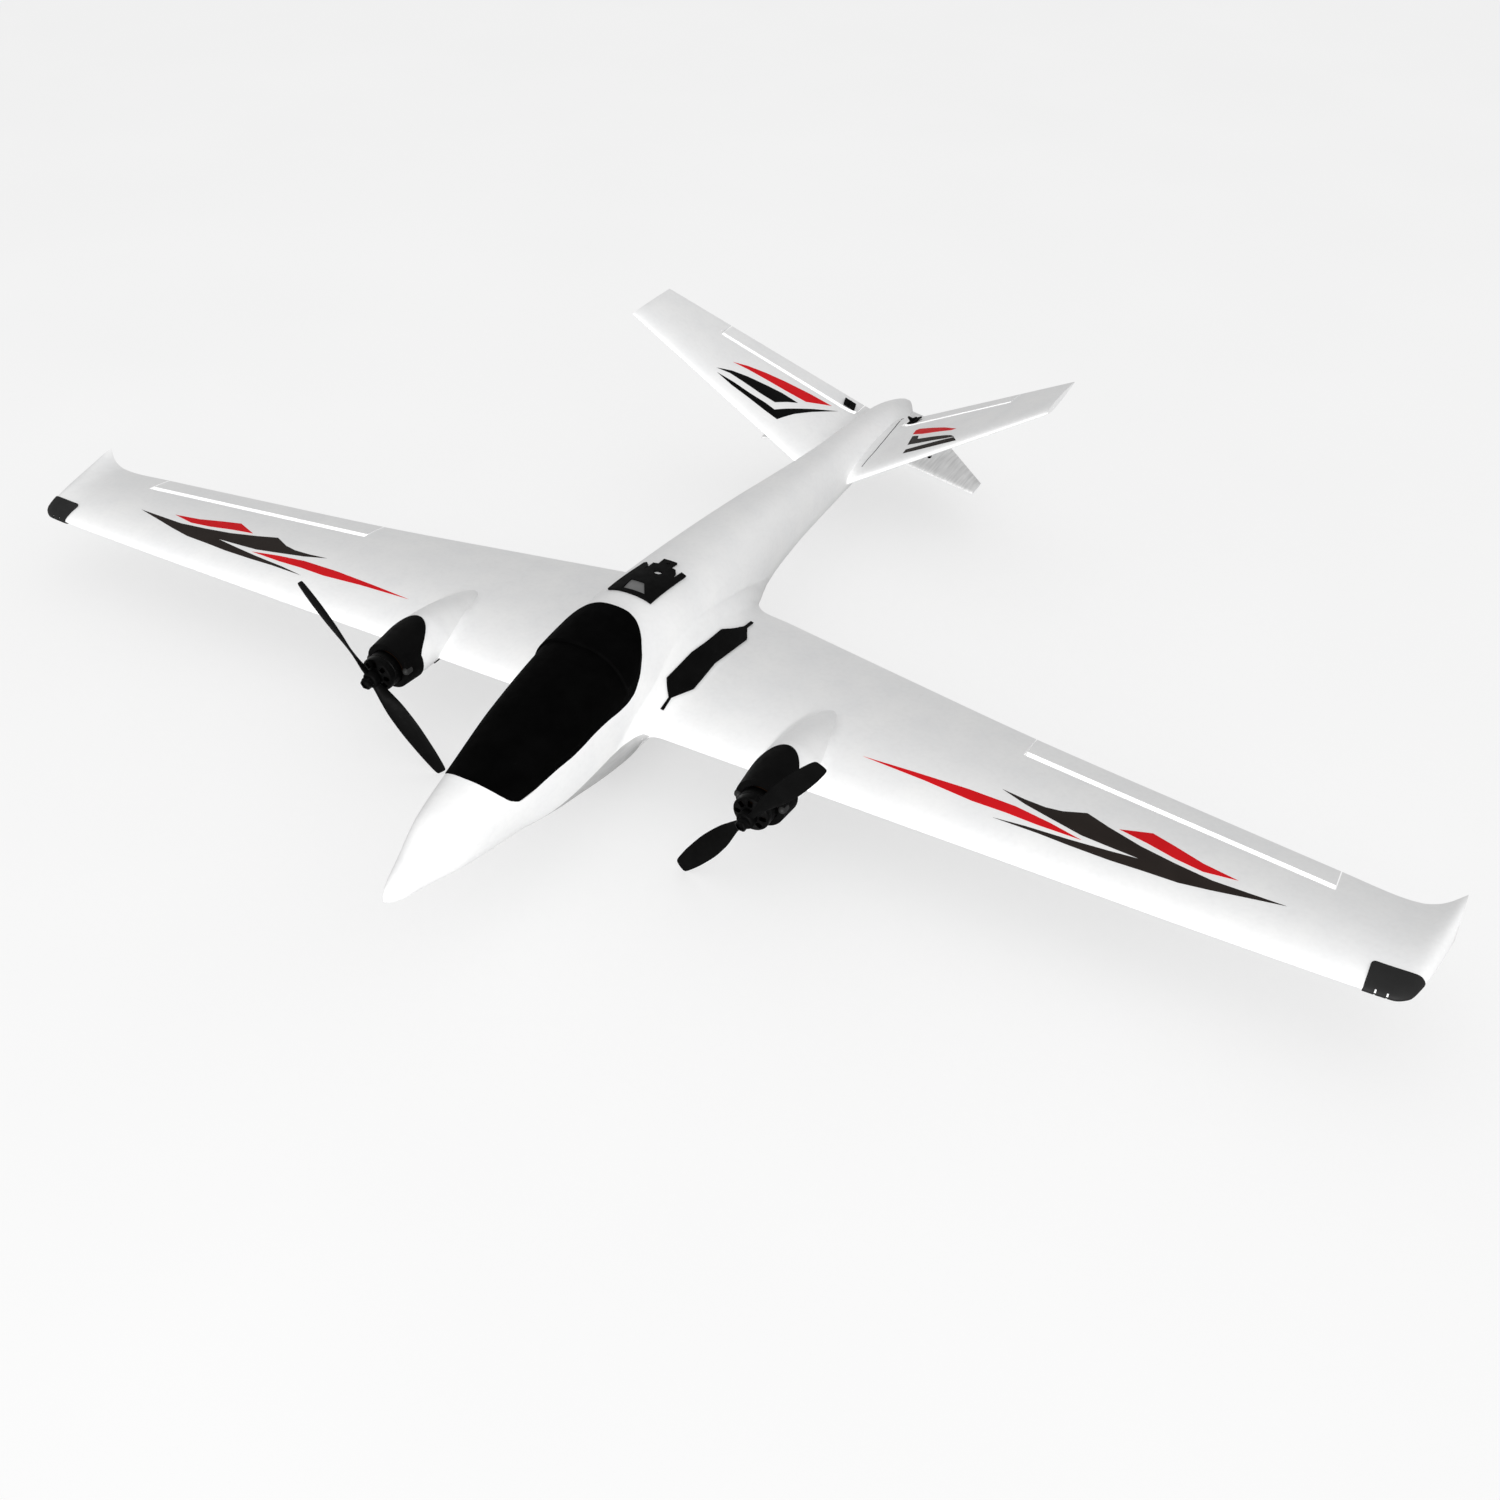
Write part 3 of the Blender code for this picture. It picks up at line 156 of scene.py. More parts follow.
def mesh_from(bm, name):
    bmesh.ops.recalc_face_normals(bm, faces=bm.faces)
    if bm.calc_volume(signed=True) < 0:
        bmesh.ops.reverse_faces(bm, faces=bm.faces)
    mesh = bpy.data.meshes.new(name)
    bm.to_mesh(mesh)
    bm.free()
    return mesh


def boolean(target, *others, operation="DIFFERENCE"):
    """Cuts the others from the target, or joins them to it, and uses them up."""
    for other in others:
        step = target.modifiers.new(other.name, "BOOLEAN")
        step.operation = operation
        step.solver = "EXACT"
        step.object = other
    bpy.context.view_layer.update()
    graph = bpy.context.evaluated_depsgraph_get()
    target.data = bpy.data.meshes.new_from_object(target.evaluated_get(graph), depsgraph=graph)
    target.modifiers.clear()
    for other in others:
        bpy.data.objects.remove(other, do_unlink=True)


def dress(made, material, slot, body, *nodes, sharp=35):
    """Gives a finished piece its shading, finish and place in the frame."""
    made.data.materials.clear()
    made.data.materials.append(material)
    made.data.polygons.foreach_set("material_index", [0] * len(made.data.polygons))
    made.data.shade_smooth()
    made.data.set_sharp_from_angle(angle=math.radians(sharp))
    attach(made, body)
    if nodes:
        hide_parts(*nodes)
    return made


def surface_of(made):
    bm = bmesh.new()
    bm.from_mesh(made.data)
    found = BVHTree.FromBMesh(bm)
    bm.free()
    return found


# ---- shapes


def curve_through(rows, column):
    """A smooth function through one column of a table of sections, against its first column."""
    table = np.array([(row[0], row[column]) for row in rows], float)
    x, y = table.T
    slope = np.diff(y) / np.diff(x)
    tangent = np.zeros(len(x))
    same = slope[:-1] * slope[1:] > 0
    total = np.where(same, slope[:-1] + slope[1:], 1)
    tangent[1:-1][same] = (2 * slope[:-1] * slope[1:] / total)[same]
    tangent[0], tangent[-1] = slope[0], slope[-1]

    def value(at_x):
        i = int(np.clip(np.searchsorted(x, at_x) - 1, 0, len(x) - 2))
        h = x[i + 1] - x[i]
        t = (at_x - x[i]) / h
        return float(
            y[i] * (1 + 2 * t) * (1 - t) ** 2
            + tangent[i] * h * t * (1 - t) ** 2
            + y[i + 1] * t * t * (3 - 2 * t)
            + tangent[i + 1] * h * t * t * (t - 1)
        )

    return value


def ease(value, low, high):
    t = min(max((value - low) / (high - low), 0.0), 1.0)
    return t * t * (3 - 2 * t)


def loft(rings, name):
    bm = bmesh.new()
    rows = [[bm.verts.new(p) for p in ring] for ring in rings]
    count = len(rows[0])
    for low, high in zip(rows, rows[1:]):
        for i in range(count):
            j = (i + 1) % count
            bm.faces.new((low[i], low[j], high[j], high[i]))
    bm.faces.new(rows[0][::-1])
    bm.faces.new(rows[-1])
    return mesh_from(bm, name)


def box(name, low, high, bevel=0.0, matrix=None, segments=2):
    """A box from two corners in millimetres, in the frame of its matrix if it has one."""
    bm = bmesh.new()
    bmesh.ops.create_cube(bm, size=1)
    low, high = Vector(low), Vector(high)
    for v in bm.verts:
        local = Vector(a * abs(b) for a, b in zip(v.co, high - low)) + (low + high) / 2
        v.co = local * MM if matrix else at_mm(*local)
    if bevel:
        bmesh.ops.bevel(
            bm, geom=bm.edges[:], offset=bevel * MM, segments=segments, affect="EDGES", profile=0.5
        )
    return new_object(name, mesh_from(bm, name), matrix)


def cylinder(name, radius, low, high, matrix, sides=48):
    """A cylinder along the matrix's Z, in millimetres."""
    bm = bmesh.new()
    place = Matrix.Translation((0, 0, (low + high) / 2 * MM))
    bmesh.ops.create_cone(
        bm, cap_ends=True, segments=sides, radius1=radius * MM, radius2=radius * MM,
        depth=(high - low) * MM, matrix=place,
    )
    return new_object(name, mesh_from(bm, name), matrix)


def extruded(name, foot, along):
    """A solid swept from a closed outline along a vector."""
    bm = bmesh.new()
    face = bm.faces.new([bm.verts.new(p) for p in foot])
    raised = bmesh.ops.extrude_face_region(bm, geom=[face])
    lifted = [g for g in raised["geom"] if isinstance(g, bmesh.types.BMVert)]
    bmesh.ops.translate(bm, verts=lifted, vec=along)
    return new_object(name, mesh_from(bm, name))


def prism(name, outline, low, high):
    """An upright solid over a plan outline, between two heights."""
    return extruded(name, [at_mm(x, s, low) for x, s in outline], (0, 0, (high - low) * MM))


def turned(name, profile, matrix, sides=64):
    """A closed body turned about the matrix's Z from a profile of (radius, height) in millimetres."""
    bm = bmesh.new()
    closed = profile[0][0] > 0
    rows = []
    for r, z in profile:
        if r == 0:
            rows.append([bm.verts.new((0, 0, z * MM))])
            continue
        turn = [2 * math.pi * k / sides for k in range(sides)]
        rows.append([bm.verts.new((r * math.cos(a) * MM, r * math.sin(a) * MM, z * MM)) for a in turn])
    pairs = list(zip(rows, rows[1:])) + ([(rows[-1], rows[0])] if closed else [])
    for low, high in pairs:
        for i in range(sides):
            j = (i + 1) % sides
            ring = [low[i % len(low)], low[j % len(low)], high[j % len(high)], high[i % len(high)]]
            bm.faces.new(list(dict.fromkeys(ring)))
    return new_object(name, mesh_from(bm, name), matrix)


def rounded_outline(points):
    """A closed outline with its corners cut to a smooth curve."""
    ring = [np.array(p, float) for p in points]
    for _ in range(2):
        ring = [p for a, b in zip(ring, ring[1:] + ring[:1]) for p in (a * 0.8 + b * 0.2, a * 0.2 + b * 0.8)]
    return [tuple(p) for p in ring]


def smooth_outline(points, steps):
    """A closed smooth curve through plan points."""
    count = len(points)
    ring = []
    for i in range(count):
        a, b, c, d = (np.array(points[(i + k) % count], float) for k in (-1, 0, 1, 2))
        bend, twist = 2 * a - 5 * b + 4 * c - d, 3 * b - a - 3 * c + d
        for t in np.arange(steps) / steps:
            ring.append(tuple(0.5 * (2 * b + (c - a) * t + bend * t**2 + twist * t**3)))
    return ring


def inset(ring, distance):
    """The outline moved inwards by a distance."""
    moved = []
    points = [Vector(p) for p in ring]
    for before, here, after in zip(points[-1:] + points[:-1], points, points[1:] + points[:1]):
        along = (after - before).normalized()
        moved.append(tuple(here + Vector((-along.y, along.x)) * distance))
    return moved


def draped(name, outline, holes, target, low, high, pitch=4.0, place=None):
    """A thin plate over an outline with holes, laid along -Z of its frame onto a target surface."""
    place = place or Matrix.Translation(at_mm(0, 0, 200))
    bm = bmesh.new()
    for ring in (outline, *holes):
        verts = [bm.verts.new((x * MM, y * MM, 0)) for x, y in ring]
        for a, b in zip(verts, verts[1:] + verts[:1]):
            bm.edges.new((a, b))
    bmesh.ops.triangle_fill(bm, edges=bm.edges[:], use_beauty=True)
    for axis in (0, 1):
        reach = [v.co[axis] / MM for v in bm.verts]
        normal = Vector((1 - axis, axis, 0))
        for cut in np.arange(math.floor(min(reach) / pitch) + 1, max(reach) / pitch):
            everything = bm.verts[:] + bm.edges[:] + bm.faces[:]
            bmesh.ops.bisect_plane(
                bm, geom=everything, dist=1e-6, plane_co=normal * cut * pitch * MM, plane_no=normal
            )
    down = place.to_3x3() @ Vector((0, 0, -1))
    both = {}
    for v in bm.verts:
        hit, across, _, _ = target.ray_cast(place @ v.co, down)
        if hit is None:
            hit, across, _, _ = target.find_nearest(place @ v.co)
        both[tuple(round(c, 7) for c in v.co)] = (hit + across * low * MM, hit + across * high * MM)
    raised = bmesh.ops.extrude_face_region(bm, geom=bm.faces[:])
    lifted = {g for g in raised["geom"] if isinstance(g, bmesh.types.BMVert)}
    for v in bm.verts:
        v.co = both[tuple(round(c, 7) for c in v.co)][v in lifted]
    return new_object(name, mesh_from(bm, name))


def circle(x, y, radius, count, stretch=1.0):
    turn = [2 * math.pi * k / count for k in range(count)]
    return [(x + radius * math.cos(a), y + radius * stretch * math.sin(a)) for a in turn]


# ---- surfaces of the foam


BODY_CURVES = [curve_through(BODY_SECTIONS, column) for column in range(1, 6)]
LEADING, TRAILING, RISE = (curve_through(WING_SECTIONS, column) for column in (1, 2, 3))
FAIRING_CURVES = [curve_through(FAIRING_SECTIONS, column) for column in range(1, 5)]
NACELLE_RADIUS = curve_through(NACELLE_SECTIONS, 1)
TAIL_UP = Vector((-math.sin(TAIL_LEAN), 0, math.cos(TAIL_LEAN)))


def body_section(s, offset=0.0, sides=96):
    """The body's outline at a station, squarer low on the flanks ahead of the wing."""
    width, top, bottom, middle, upper_square = (value(s) for value in BODY_CURVES)
    fuller = 0.9 * ease(s, 110, 155) * (1 - ease(s, 232, 262))
    ring = []
    for k in range(sides):
        angle = 2 * math.pi * k / sides
        c, d = math.cos(angle), math.sin(angle)
        reach = (top - middle) if c > 0 else (middle - bottom)
        square = upper_square + (fuller if c < 0 else 0)
        px = width * math.copysign(abs(d) ** (2 / square), d)
        pz = reach * math.copysign(abs(c) ** (2 / square), c)
        nx = math.copysign(abs(d) ** (2 - 2 / square), d) / width
        nz = math.copysign(abs(c) ** (2 - 2 / square), c) / reach
        normal = Vector((nx, nz)).normalized()
        ring.append(at_mm(px + normal.x * offset, s, middle + pz + normal.y * offset))
    return ring


def body_loft(name, first, last, count, offset=0.0, sides=96):
    """A stretch of the body, with its sections closer together towards the front."""
    stations = [first + (last - first) * float(t) ** 1.35 for t in np.linspace(0, 1, count)]
    return new_object(name, loft([body_section(s, offset, sides) for s in stations], name))


def half_thickness(s):
    """Half the wing aerofoil's thickness at a chord fraction, as a fraction of the chord."""
    shape = 0.2969 * math.sqrt(s) - 0.126 * s - 0.3516 * s**2 + 0.2843 * s**3 - 0.1036 * s**4
    return 5 * AEROFOIL_THICKNESS * shape + 0.004 * s


def mean_line(s, camber):
    return 4 * camber * s * (1 - s)


def aerofoil(count, camber):
    """Upper points from the nose aft, then lower points back, as (chord fraction, height fraction, side)."""
    cuts = [0.5 - 0.5 * math.cos(math.pi * k / count) for k in range(count + 1)]
    upper = [(s, mean_line(s, camber) + half_thickness(s), 1) for s in cuts]
    return upper + [(s, mean_line(s, camber) - half_thickness(s), -1) for s in cuts[:0:-1]]


WING_AEROFOIL = aerofoil(44, AEROFOIL_CAMBER)


def chord_line(s):
    return WING_TILT * (s - 1)


def fullness(s):
    """One over most of the chord, falling to nothing at the leading and trailing edge."""
    return min(1.0, (4 * s * (1 - s)) ** 0.7)


def grown(ring, offset):
    """The section moved outwards by an offset in millimetres."""
    if not offset:
        return ring
    moved = []
    for before, here, after in zip(ring[-1:] + ring[:-1], ring, ring[1:] + ring[:1]):
        along = after - before
        moved.append(here + Vector((0, -along.z, along.y)).normalized() * offset * MM)
    return moved


def collar(x, s, height):
    """How far the wing's skin swells towards the nacelle that stands in it."""
    start, full, easing, end = COLLAR_STATIONS
    if not start < s < end:
        return 0.0
    apart = math.hypot(x - POD_X, height - MOTOR_HEIGHT) - NACELLE_RADIUS(s)
    swell = COLLAR_RISE * max(1 - max(apart, 0) / COLLAR_REACH, 0) ** 2
    return swell * ease(s, start, full) * (1 - ease(s, easing, end))


def wing_ring(x, offset=0.0, with_collar=False):
    leading, trailing, rise = LEADING(x), TRAILING(x), RISE(x)
    chord = trailing - leading
    ring = []
    for s, h, upper in WING_AEROFOIL:
        station = leading + s * chord
        height = chord_line(s) + rise * (0.35 + 0.65 * s) + h * chord
        if with_collar:
            height += collar(x, station, height) * (1 if upper > 0 else -COLLAR_BELOW)
        ring.append(at_mm(x, station, height))
    return grown(ring, offset)


def mirrored(points, side):
    return [Vector((p.x * side, p.y, p.z)) for p in points]


def wing_loft(name, side, first, last, offset=0.0, with_collar=False, stretch=0.0):
    """A stretch of the wing, with its sections closer together at the nacelle and at the tip."""
    spans = set(np.linspace(first, last, max(6, int((last - first) / 9)))) | {first, last}
    if with_collar:
        spans |= set(np.arange(POD_X - 30, POD_X + 30.1, 1.25))
    if last > TIP_START:
        spans = {x for x in spans if x < TIP_START} | set(np.linspace(max(TIP_START, first), last, 34))
    rings = [wing_ring(float(x), offset, with_collar) for x in sorted(spans)]
    if stretch:
        rings[-1] = [p + Vector((stretch * MM, 0, 0)) for p in rings[-1]]
    return new_object(name, loft([mirrored(ring, side) for ring in rings], name))


def wing_underside(x, station):
    """Height of the wing's lower skin between its straight-tapered sections, as the hinge was set out."""
    xs = [row[0] for row in WING_SECTIONS]
    leading = np.interp(x, xs, [row[1] for row in WING_SECTIONS])
    trailing = np.interp(x, xs, [row[2] for row in WING_SECTIONS])
    s = (station - leading) / (trailing - leading)
    return chord_line(s) + (mean_line(s, AEROFOIL_CAMBER) - half_thickness(s)) * (trailing - leading)


def fairing(name, side):
    """The wing root's blend into the body."""
    rings = []
    for x in (*np.linspace(26, 36, 6), *np.linspace(37, 48, 16), *np.linspace(50, 75, 14)):
        leading, trailing, lift, drop = (value(x) for value in FAIRING_CURVES)
        ring = []
        for s, h, _ in WING_AEROFOIL:
            height = chord_line(s) + h * ROOT_CHORD + (lift if h > 0 else -drop) * fullness(s)
            ring.append(at_mm(x, leading + s * (trailing - leading), height))
        rings.append(mirrored(ring, side))
    return new_object(name, loft(rings, name))


def nacelle(name, side, offset=0.0, first=200, last=313):
    """A stretch of the nacelle, turned about the motor axis."""
    turn = [2 * math.pi * k / 72 for k in range(72)]
    rings = []
    for s in np.linspace(first, last, 60):
        r = (NACELLE_RADIUS(s) + offset) * MM
        centre = at_mm(POD_X * side, s, MOTOR_HEIGHT)
        rings.append([centre + Vector((r * math.sin(a), 0, r * math.cos(a))) for a in turn])
    return new_object(name, loft(rings, name))


def tail_trailing(x):
    return TAIL_TRAILING + 0.4435 * (TAIL_TIP_X - x)


def tail_height(x):
    return TAIL_TIP_HEIGHT - TAIL_SLOPE * (TAIL_TIP_X - x)


def tail_loft(name, side):
    """A leaning tail panel, rounded at its tip and blended into the body on its upper side."""
    rings = []
    for x in np.linspace(9, TAIL_TIP_X, 60):
        leading = TAIL_LEADING + 0.03 * (TAIL_TIP_X - x)
        chord = tail_trailing(x) - leading
        flare = min(FLARE_RISE * max(0, (FLARE_X - x) / FLARE_SPAN) ** 3, FLARE_LIMIT)
        round_off = 1 - 0.35 * max(0, (x - 197.5) / 2.5) ** 2
        ring = []
        for s, h, _ in aerofoil(40, camber=0.0):
            lift = h * chord * TAIL_THICKNESS * round_off + (flare * fullness(s) if h > 0 else 0)
            ring.append(at_mm(x, leading + s * chord, tail_height(x)) + TAIL_UP * lift * MM)
        rings.append(mirrored(ring, side))
    return new_object(name, loft(rings, name))


# ---- hinge frames


class Hinge:
    """A hinge line with its own axes: across (towards +X), aft and up."""

    def __init__(self, ends, heights, side, up):
        inner = at_mm(*ends[0], heights[0])
        outer = at_mm(*ends[1], heights[1])
        self.side = side
        self.length = (outer - inner).length / MM
        self.inner = Vector((inner.x * side, inner.y, inner.z))
        self.across = mirrored([outer - inner], side)[0].normalized() * side
        self.aft = mirrored([up], side)[0].cross(self.across).normalized()
        self.up = self.across.cross(self.aft).normalized()

    def matrix(self, along):
        turn = Matrix((self.across, self.aft, self.up)).transposed().to_4x4()
        return Matrix.Translation(self.inner + self.across * self.side * along * MM) @ turn

    def block(self, name, along, front_low, front_high, aft, low, high):
        """A block between two places on the hinge line, with its front face leaning as the groove does."""
        chordwise = (Vector((0, 1, 0)) - self.up * self.up.y).normalized()
        bm = bmesh.new()
        bmesh.ops.create_cube(bm, size=2)
        for v in bm.verts:
            i, j, k = (int(c > 0) for c in v.co)
            start = self.inner + self.across * self.side * along[i] * MM
            forward = (front_low, front_high)[k] if j == 0 else aft
            v.co = start + chordwise * forward * MM + self.up * (low, high)[k] * MM
        return new_object(name, mesh_from(bm, name))


def aileron_hinge(side):
    heights = [wing_underside(x, s) for x, s in AILERON_HINGE]
    return Hinge(AILERON_HINGE, heights, side, Vector((0, 0, 1)))


def tail_hinge(side):
    heights = []
    for x, station in TAIL_HINGE:
        chord = tail_trailing(x) - TAIL_LEADING
        skin = half_thickness((station - TAIL_LEADING) / chord) * chord * TAIL_THICKNESS
        heights.append(tail_height(x) - skin / math.cos(TAIL_LEAN))
    return Hinge(TAIL_HINGE, heights, side, TAIL_UP)


def hinge_cutters(hinge, reach, end_gap, name):
    """The bay that the moving surface leaves in the panel, and the block that trims the surface to it."""
    low, high = -14, 22
    bay = hinge.block(name + "_bay", (0, hinge.length), -GAP, -GAP, reach, low, high)
    ends = (end_gap, hinge.length - end_gap)
    trim = hinge.block(
        name + "_trim", ends, GAP + low * GROOVE_SLOPE, GAP + high * GROOVE_SLOPE, reach, low, high
    )
    return bay, trim


def servo_cutters(name, side, hinge, along, reach, rise, body):
    """The pocket and the arm's slot in the panel's underside."""
    shaft = hinge.matrix(along) @ Matrix.Translation((0, -reach * MM, rise * MM))
    length, width, depth = body
    clearance, bottom = 0.4, -30
    ends = sorted((-1.6 * side, (3 + depth + clearance) * side))
    low = (ends[0], -0.3 * length - clearance, bottom)
    high = (ends[1], 0.7 * length + clearance, width / 2 + clearance)
    pocket = box(name + "_pocket", low, high, matrix=shaft)
    slot = box(name + "_arm_slot", (-3.4, -9, bottom), (3.4, 9, 4.4), matrix=shaft)
    return pocket, slot


# ---- materials


class Finish:
    """A node material in the making, with its detail placed in the object's own metres."""

    def __init__(self, name, roughness, metallic=0.0, specular=0.5):
        self.material = bpy.data.materials.new(name)
        self.material.use_nodes = True
        self.tree = self.material.node_tree
        self.shader = self.tree.nodes["Principled BSDF"]
        self.shader.inputs["Roughness"].default_value = roughness
        self.shader.inputs["Metallic"].default_value = metallic
        self.shader.inputs["Specular IOR Level"].default_value = specular
        self.place = self.tree.nodes.new("ShaderNodeTexCoord").outputs["Object"]

    def texture(self, kind, output, stretch=None, turn=None, **values):
        made = self.tree.nodes.new(kind)
        source = self.place
        if stretch:
            mapping = self.tree.nodes.new("ShaderNodeMapping")
            mapping.inputs["Scale"].default_value = stretch
            mapping.inputs["Rotation"].default_value = turn or (0, 0, 0)
            self.tree.links.new(source, mapping.inputs["Vector"])
            source = mapping.outputs["Vector"]
        self.tree.links.new(source, made.inputs["Vector"])
        for key, value in values.items():
            if key in made.inputs:
                made.inputs[key].default_value = value
            else:
                setattr(made, key, value)
        return made.outputs[output]

    def noise(self, scale, detail=3.0, stretch=None):
        return self.texture("ShaderNodeTexNoise", "Fac", stretch, Scale=scale, Detail=detail)

    def cells(self, scale, feature="F1", stretch=None):
        return self.texture("ShaderNodeTexVoronoi", "Distance", stretch, Scale=scale, feature=feature)

    def waves(self, scale, distortion=0.0, direction="X", stretch=None, turn=None):
        return self.texture(
            "ShaderNodeTexWave", "Fac", stretch, turn, Scale=scale, Distortion=distortion,
            bands_direction=direction,
        )

    def ramp(self, source, *stops):
        """Colours or grey values along a texture: (position, colour) pairs."""
        made = self.tree.nodes.new("ShaderNodeValToRGB")
        while len(made.color_ramp.elements) < len(stops):
            made.color_ramp.elements.new(0.5)
        for element, (position, colour) in zip(made.color_ramp.elements, stops):
            element.position = position
            element.color = (*(colour if isinstance(colour, tuple) else (colour,) * 3), 1)
        self.tree.links.new(source, made.inputs["Fac"])
        return made.outputs["Color"]

    def multiply(self, a, b):
        made = self.tree.nodes.new("ShaderNodeMix")
        made.data_type = "RGBA"
        made.blend_type = "MULTIPLY"
        made.inputs["Factor"].default_value = 1
        self.tree.links.new(a, made.inputs[6])
        self.tree.links.new(b, made.inputs[7])
        return made.outputs[2]

    def colour(self, source):
        self.tree.links.new(source, self.shader.inputs["Base Color"])
        return self

    def roughness(self, source):
        self.tree.links.new(source, self.shader.inputs["Roughness"])
        return self

    def bump(self, source, strength, height):
        made = self.tree.nodes.new("ShaderNodeBump")
        made.inputs["Strength"].default_value = strength
        made.inputs["Distance"].default_value = height * MM
        self.tree.links.new(source, made.inputs["Height"])
        socket = self.shader.inputs["Normal"]
        if socket.is_linked:
            self.tree.links.new(socket.links[0].from_socket, made.inputs["Normal"])
        self.tree.links.new(made.outputs["Normal"], socket)
        return self


def foam_skin():
    """Moulded bead foam: faint bead outlines, a soft mottle and small vent marks."""
    f = Finish("foam_skin", 0.65, specular=0.12)
    beads = f.cells(330, "SMOOTH_F1")
    mottle = f.ramp(f.noise(38, 4), (0.3, (0.845, 0.848, 0.852)), (0.7, (0.885, 0.885, 0.882)))
    edges = f.ramp(beads, (0.35, 1.0), (0.8, 0.975))
    f.colour(f.multiply(mottle, edges)).roughness(f.ramp(f.noise(240, 2), (0.3, 0.55), (0.7, 0.72)))
    return f.bump(beads, 0.10, -0.35).bump(f.noise(1400, 2), 0.12, 0.08).material


def foam_streaked(name, low, high):
    """Coarser foam with streaks along the chord."""
    f = Finish(name, 0.65, specular=0.12)
    streaks = f.noise(1, 3, stretch=(420, 26, 420))
    f.colour(f.ramp(streaks, (0.3, low), (0.68, high)))
    return f.bump(streaks, 0.3, 0.4).bump(f.cells(330, "SMOOTH_F1"), 0.08, -0.3).material


def moulded_plastic(name, low, high, rough, specular):
    f = Finish(name, rough, specular=specular)
    grain = f.cells(1500)
    f.colour(f.ramp(f.noise(70, 4), (0.3, low), (0.7, high)))
    f.roughness(f.ramp(f.noise(180, 3), (0.3, rough - 0.06), (0.7, rough + 0.08)))
    return f.bump(grain, 0.12, 0.08).material


def trim_film(name, low, high):
    """Printed trim film: even colour with a little orange peel."""
    f = Finish(name, 0.5, specular=0.03)
    f.colour(f.ramp(f.noise(46, 3), (0.3, low), (0.7, high)))
    f.roughness(f.ramp(f.noise(300, 2), (0.3, 0.38), (0.7, 0.5)))
    return f.bump(f.cells(330, "SMOOTH_F1"), 0.05, -0.2).material


def carbon_tube():
    f = Finish("carbon_tube", 0.3)
    weave = f.waves(160, 0.6, "DIAGONAL")
    f.colour(f.ramp(weave, (0.3, 0.012), (0.7, 0.045)))
    return f.bump(weave, 0.15, 0.05).bump(f.noise(900, 2), 0.08, 0.04).material


def turned_metal(name, low, high, rough):
    f = Finish(name, rough, metallic=1.0)
    marks = f.noise(1, 3, stretch=(240, 1900, 240))
    f.colour(f.ramp(marks, (0.3, low), (0.7, high)))
    f.roughness(f.ramp(f.noise(400, 3), (0.3, rough - 0.05), (0.7, rough + 0.1)))
    return f.bump(marks, 0.08, 0.03).material


def copper_winding():
    f = Finish("copper_winding", 0.35, metallic=0.85)
    turns = f.waves(330, 0.8, "Y")
    f.colour(f.ramp(turns, (0.2, (0.012, 0.005, 0.002)), (0.8, (0.05, 0.021, 0.009))))
    return f.bump(turns, 0.5, 0.2).material


def plywood():
    f = Finish("plywood_sheet", 0.7, specular=0.3)
    grain = f.noise(1, 5, stretch=(190, 16, 90))
    f.colour(f.ramp(grain, (0.3, (0.42, 0.28, 0.15)), (0.55, (0.6, 0.44, 0.26)), (0.8, (0.68, 0.52, 0.33))))
    return f.bump(grain, 0.25, 0.15).material


def battery_wrap():
    f = Finish("battery_wrap", 0.32)
    f.colour(f.ramp(f.noise(30, 3), (0.3, (0.012, 0.035, 0.09)), (0.7, (0.02, 0.06, 0.15))))
    return f.bump(f.noise(120, 3), 0.3, 0.4).material


def webbing():
    f = Finish("webbing", 0.85, specular=0.2)
    weave = f.multiply(f.waves(420, 0, "X"), f.waves(420, 0, "Y"))
    f.colour(f.ramp(weave, (0.0, 0.008), (0.8, 0.05)))
    return f.bump(weave, 0.6, 0.3).material


def circuit_board():
    f = Finish("circuit_board", 0.4)
    tracks = f.cells(240, "DISTANCE_TO_EDGE", stretch=(1, 1, 0.2))
    f.colour(f.ramp(tracks, (0.02, (0.03, 0.16, 0.07)), (0.1, (0.006, 0.045, 0.02))))
    return f.bump(tracks, 0.2, 0.05).material


FOAM = foam_skin()
STREAKED = foam_streaked("foam_streaked", 0.64, 0.82)
# Grey foam for the lower flank's facet: painted shade, not the foam's own tone
PAINTED_SHADE_FOAM = foam_streaked("foam_painted_shade", 0.44, 0.49)
HATCH_BLACK = moulded_plastic("hatch_black", 0.0004, 0.0012, 0.7, 0.02)
BLACK = moulded_plastic("black_plastic_grain", 0.0008, 0.002, 0.6, 0.05)
CHARCOAL = moulded_plastic("charcoal_plastic", 0.014, 0.018, 0.6, 0.12)
LENS_GREY = moulded_plastic("lens_grey", 0.016, 0.026, 0.5, 0.15)
WINDOW_GREY = moulded_plastic("window_grey", 0.14, 0.19, 0.5, 0.2)
RED_FILM = trim_film("red_film", (0.62, 0.008, 0.012), (0.69, 0.011, 0.016))
DARK_FILM = trim_film("charcoal_film", (0.021, 0.0165, 0.0145), (0.027, 0.0215, 0.019))
BLACK_FILM = trim_film("black_film", 0.001, 0.002)
ANODISED = turned_metal("black_anodised", 0.004, 0.009, 0.42)
CARRIED_OVER = {
    "white_foam": FOAM,
    "black_plastic": BLACK,
    "black_metal": ANODISED,
    "steel": turned_metal("bright_steel", 0.5, 0.66, 0.28),
    "carbon": carbon_tube(),
    "copper_winding": copper_winding(),
    "plywood": plywood(),
    "battery_wrap": battery_wrap(),
    "webbing": webbing(),
    "circuit_board": circuit_board(),
}


# ---- fuselage and hatch


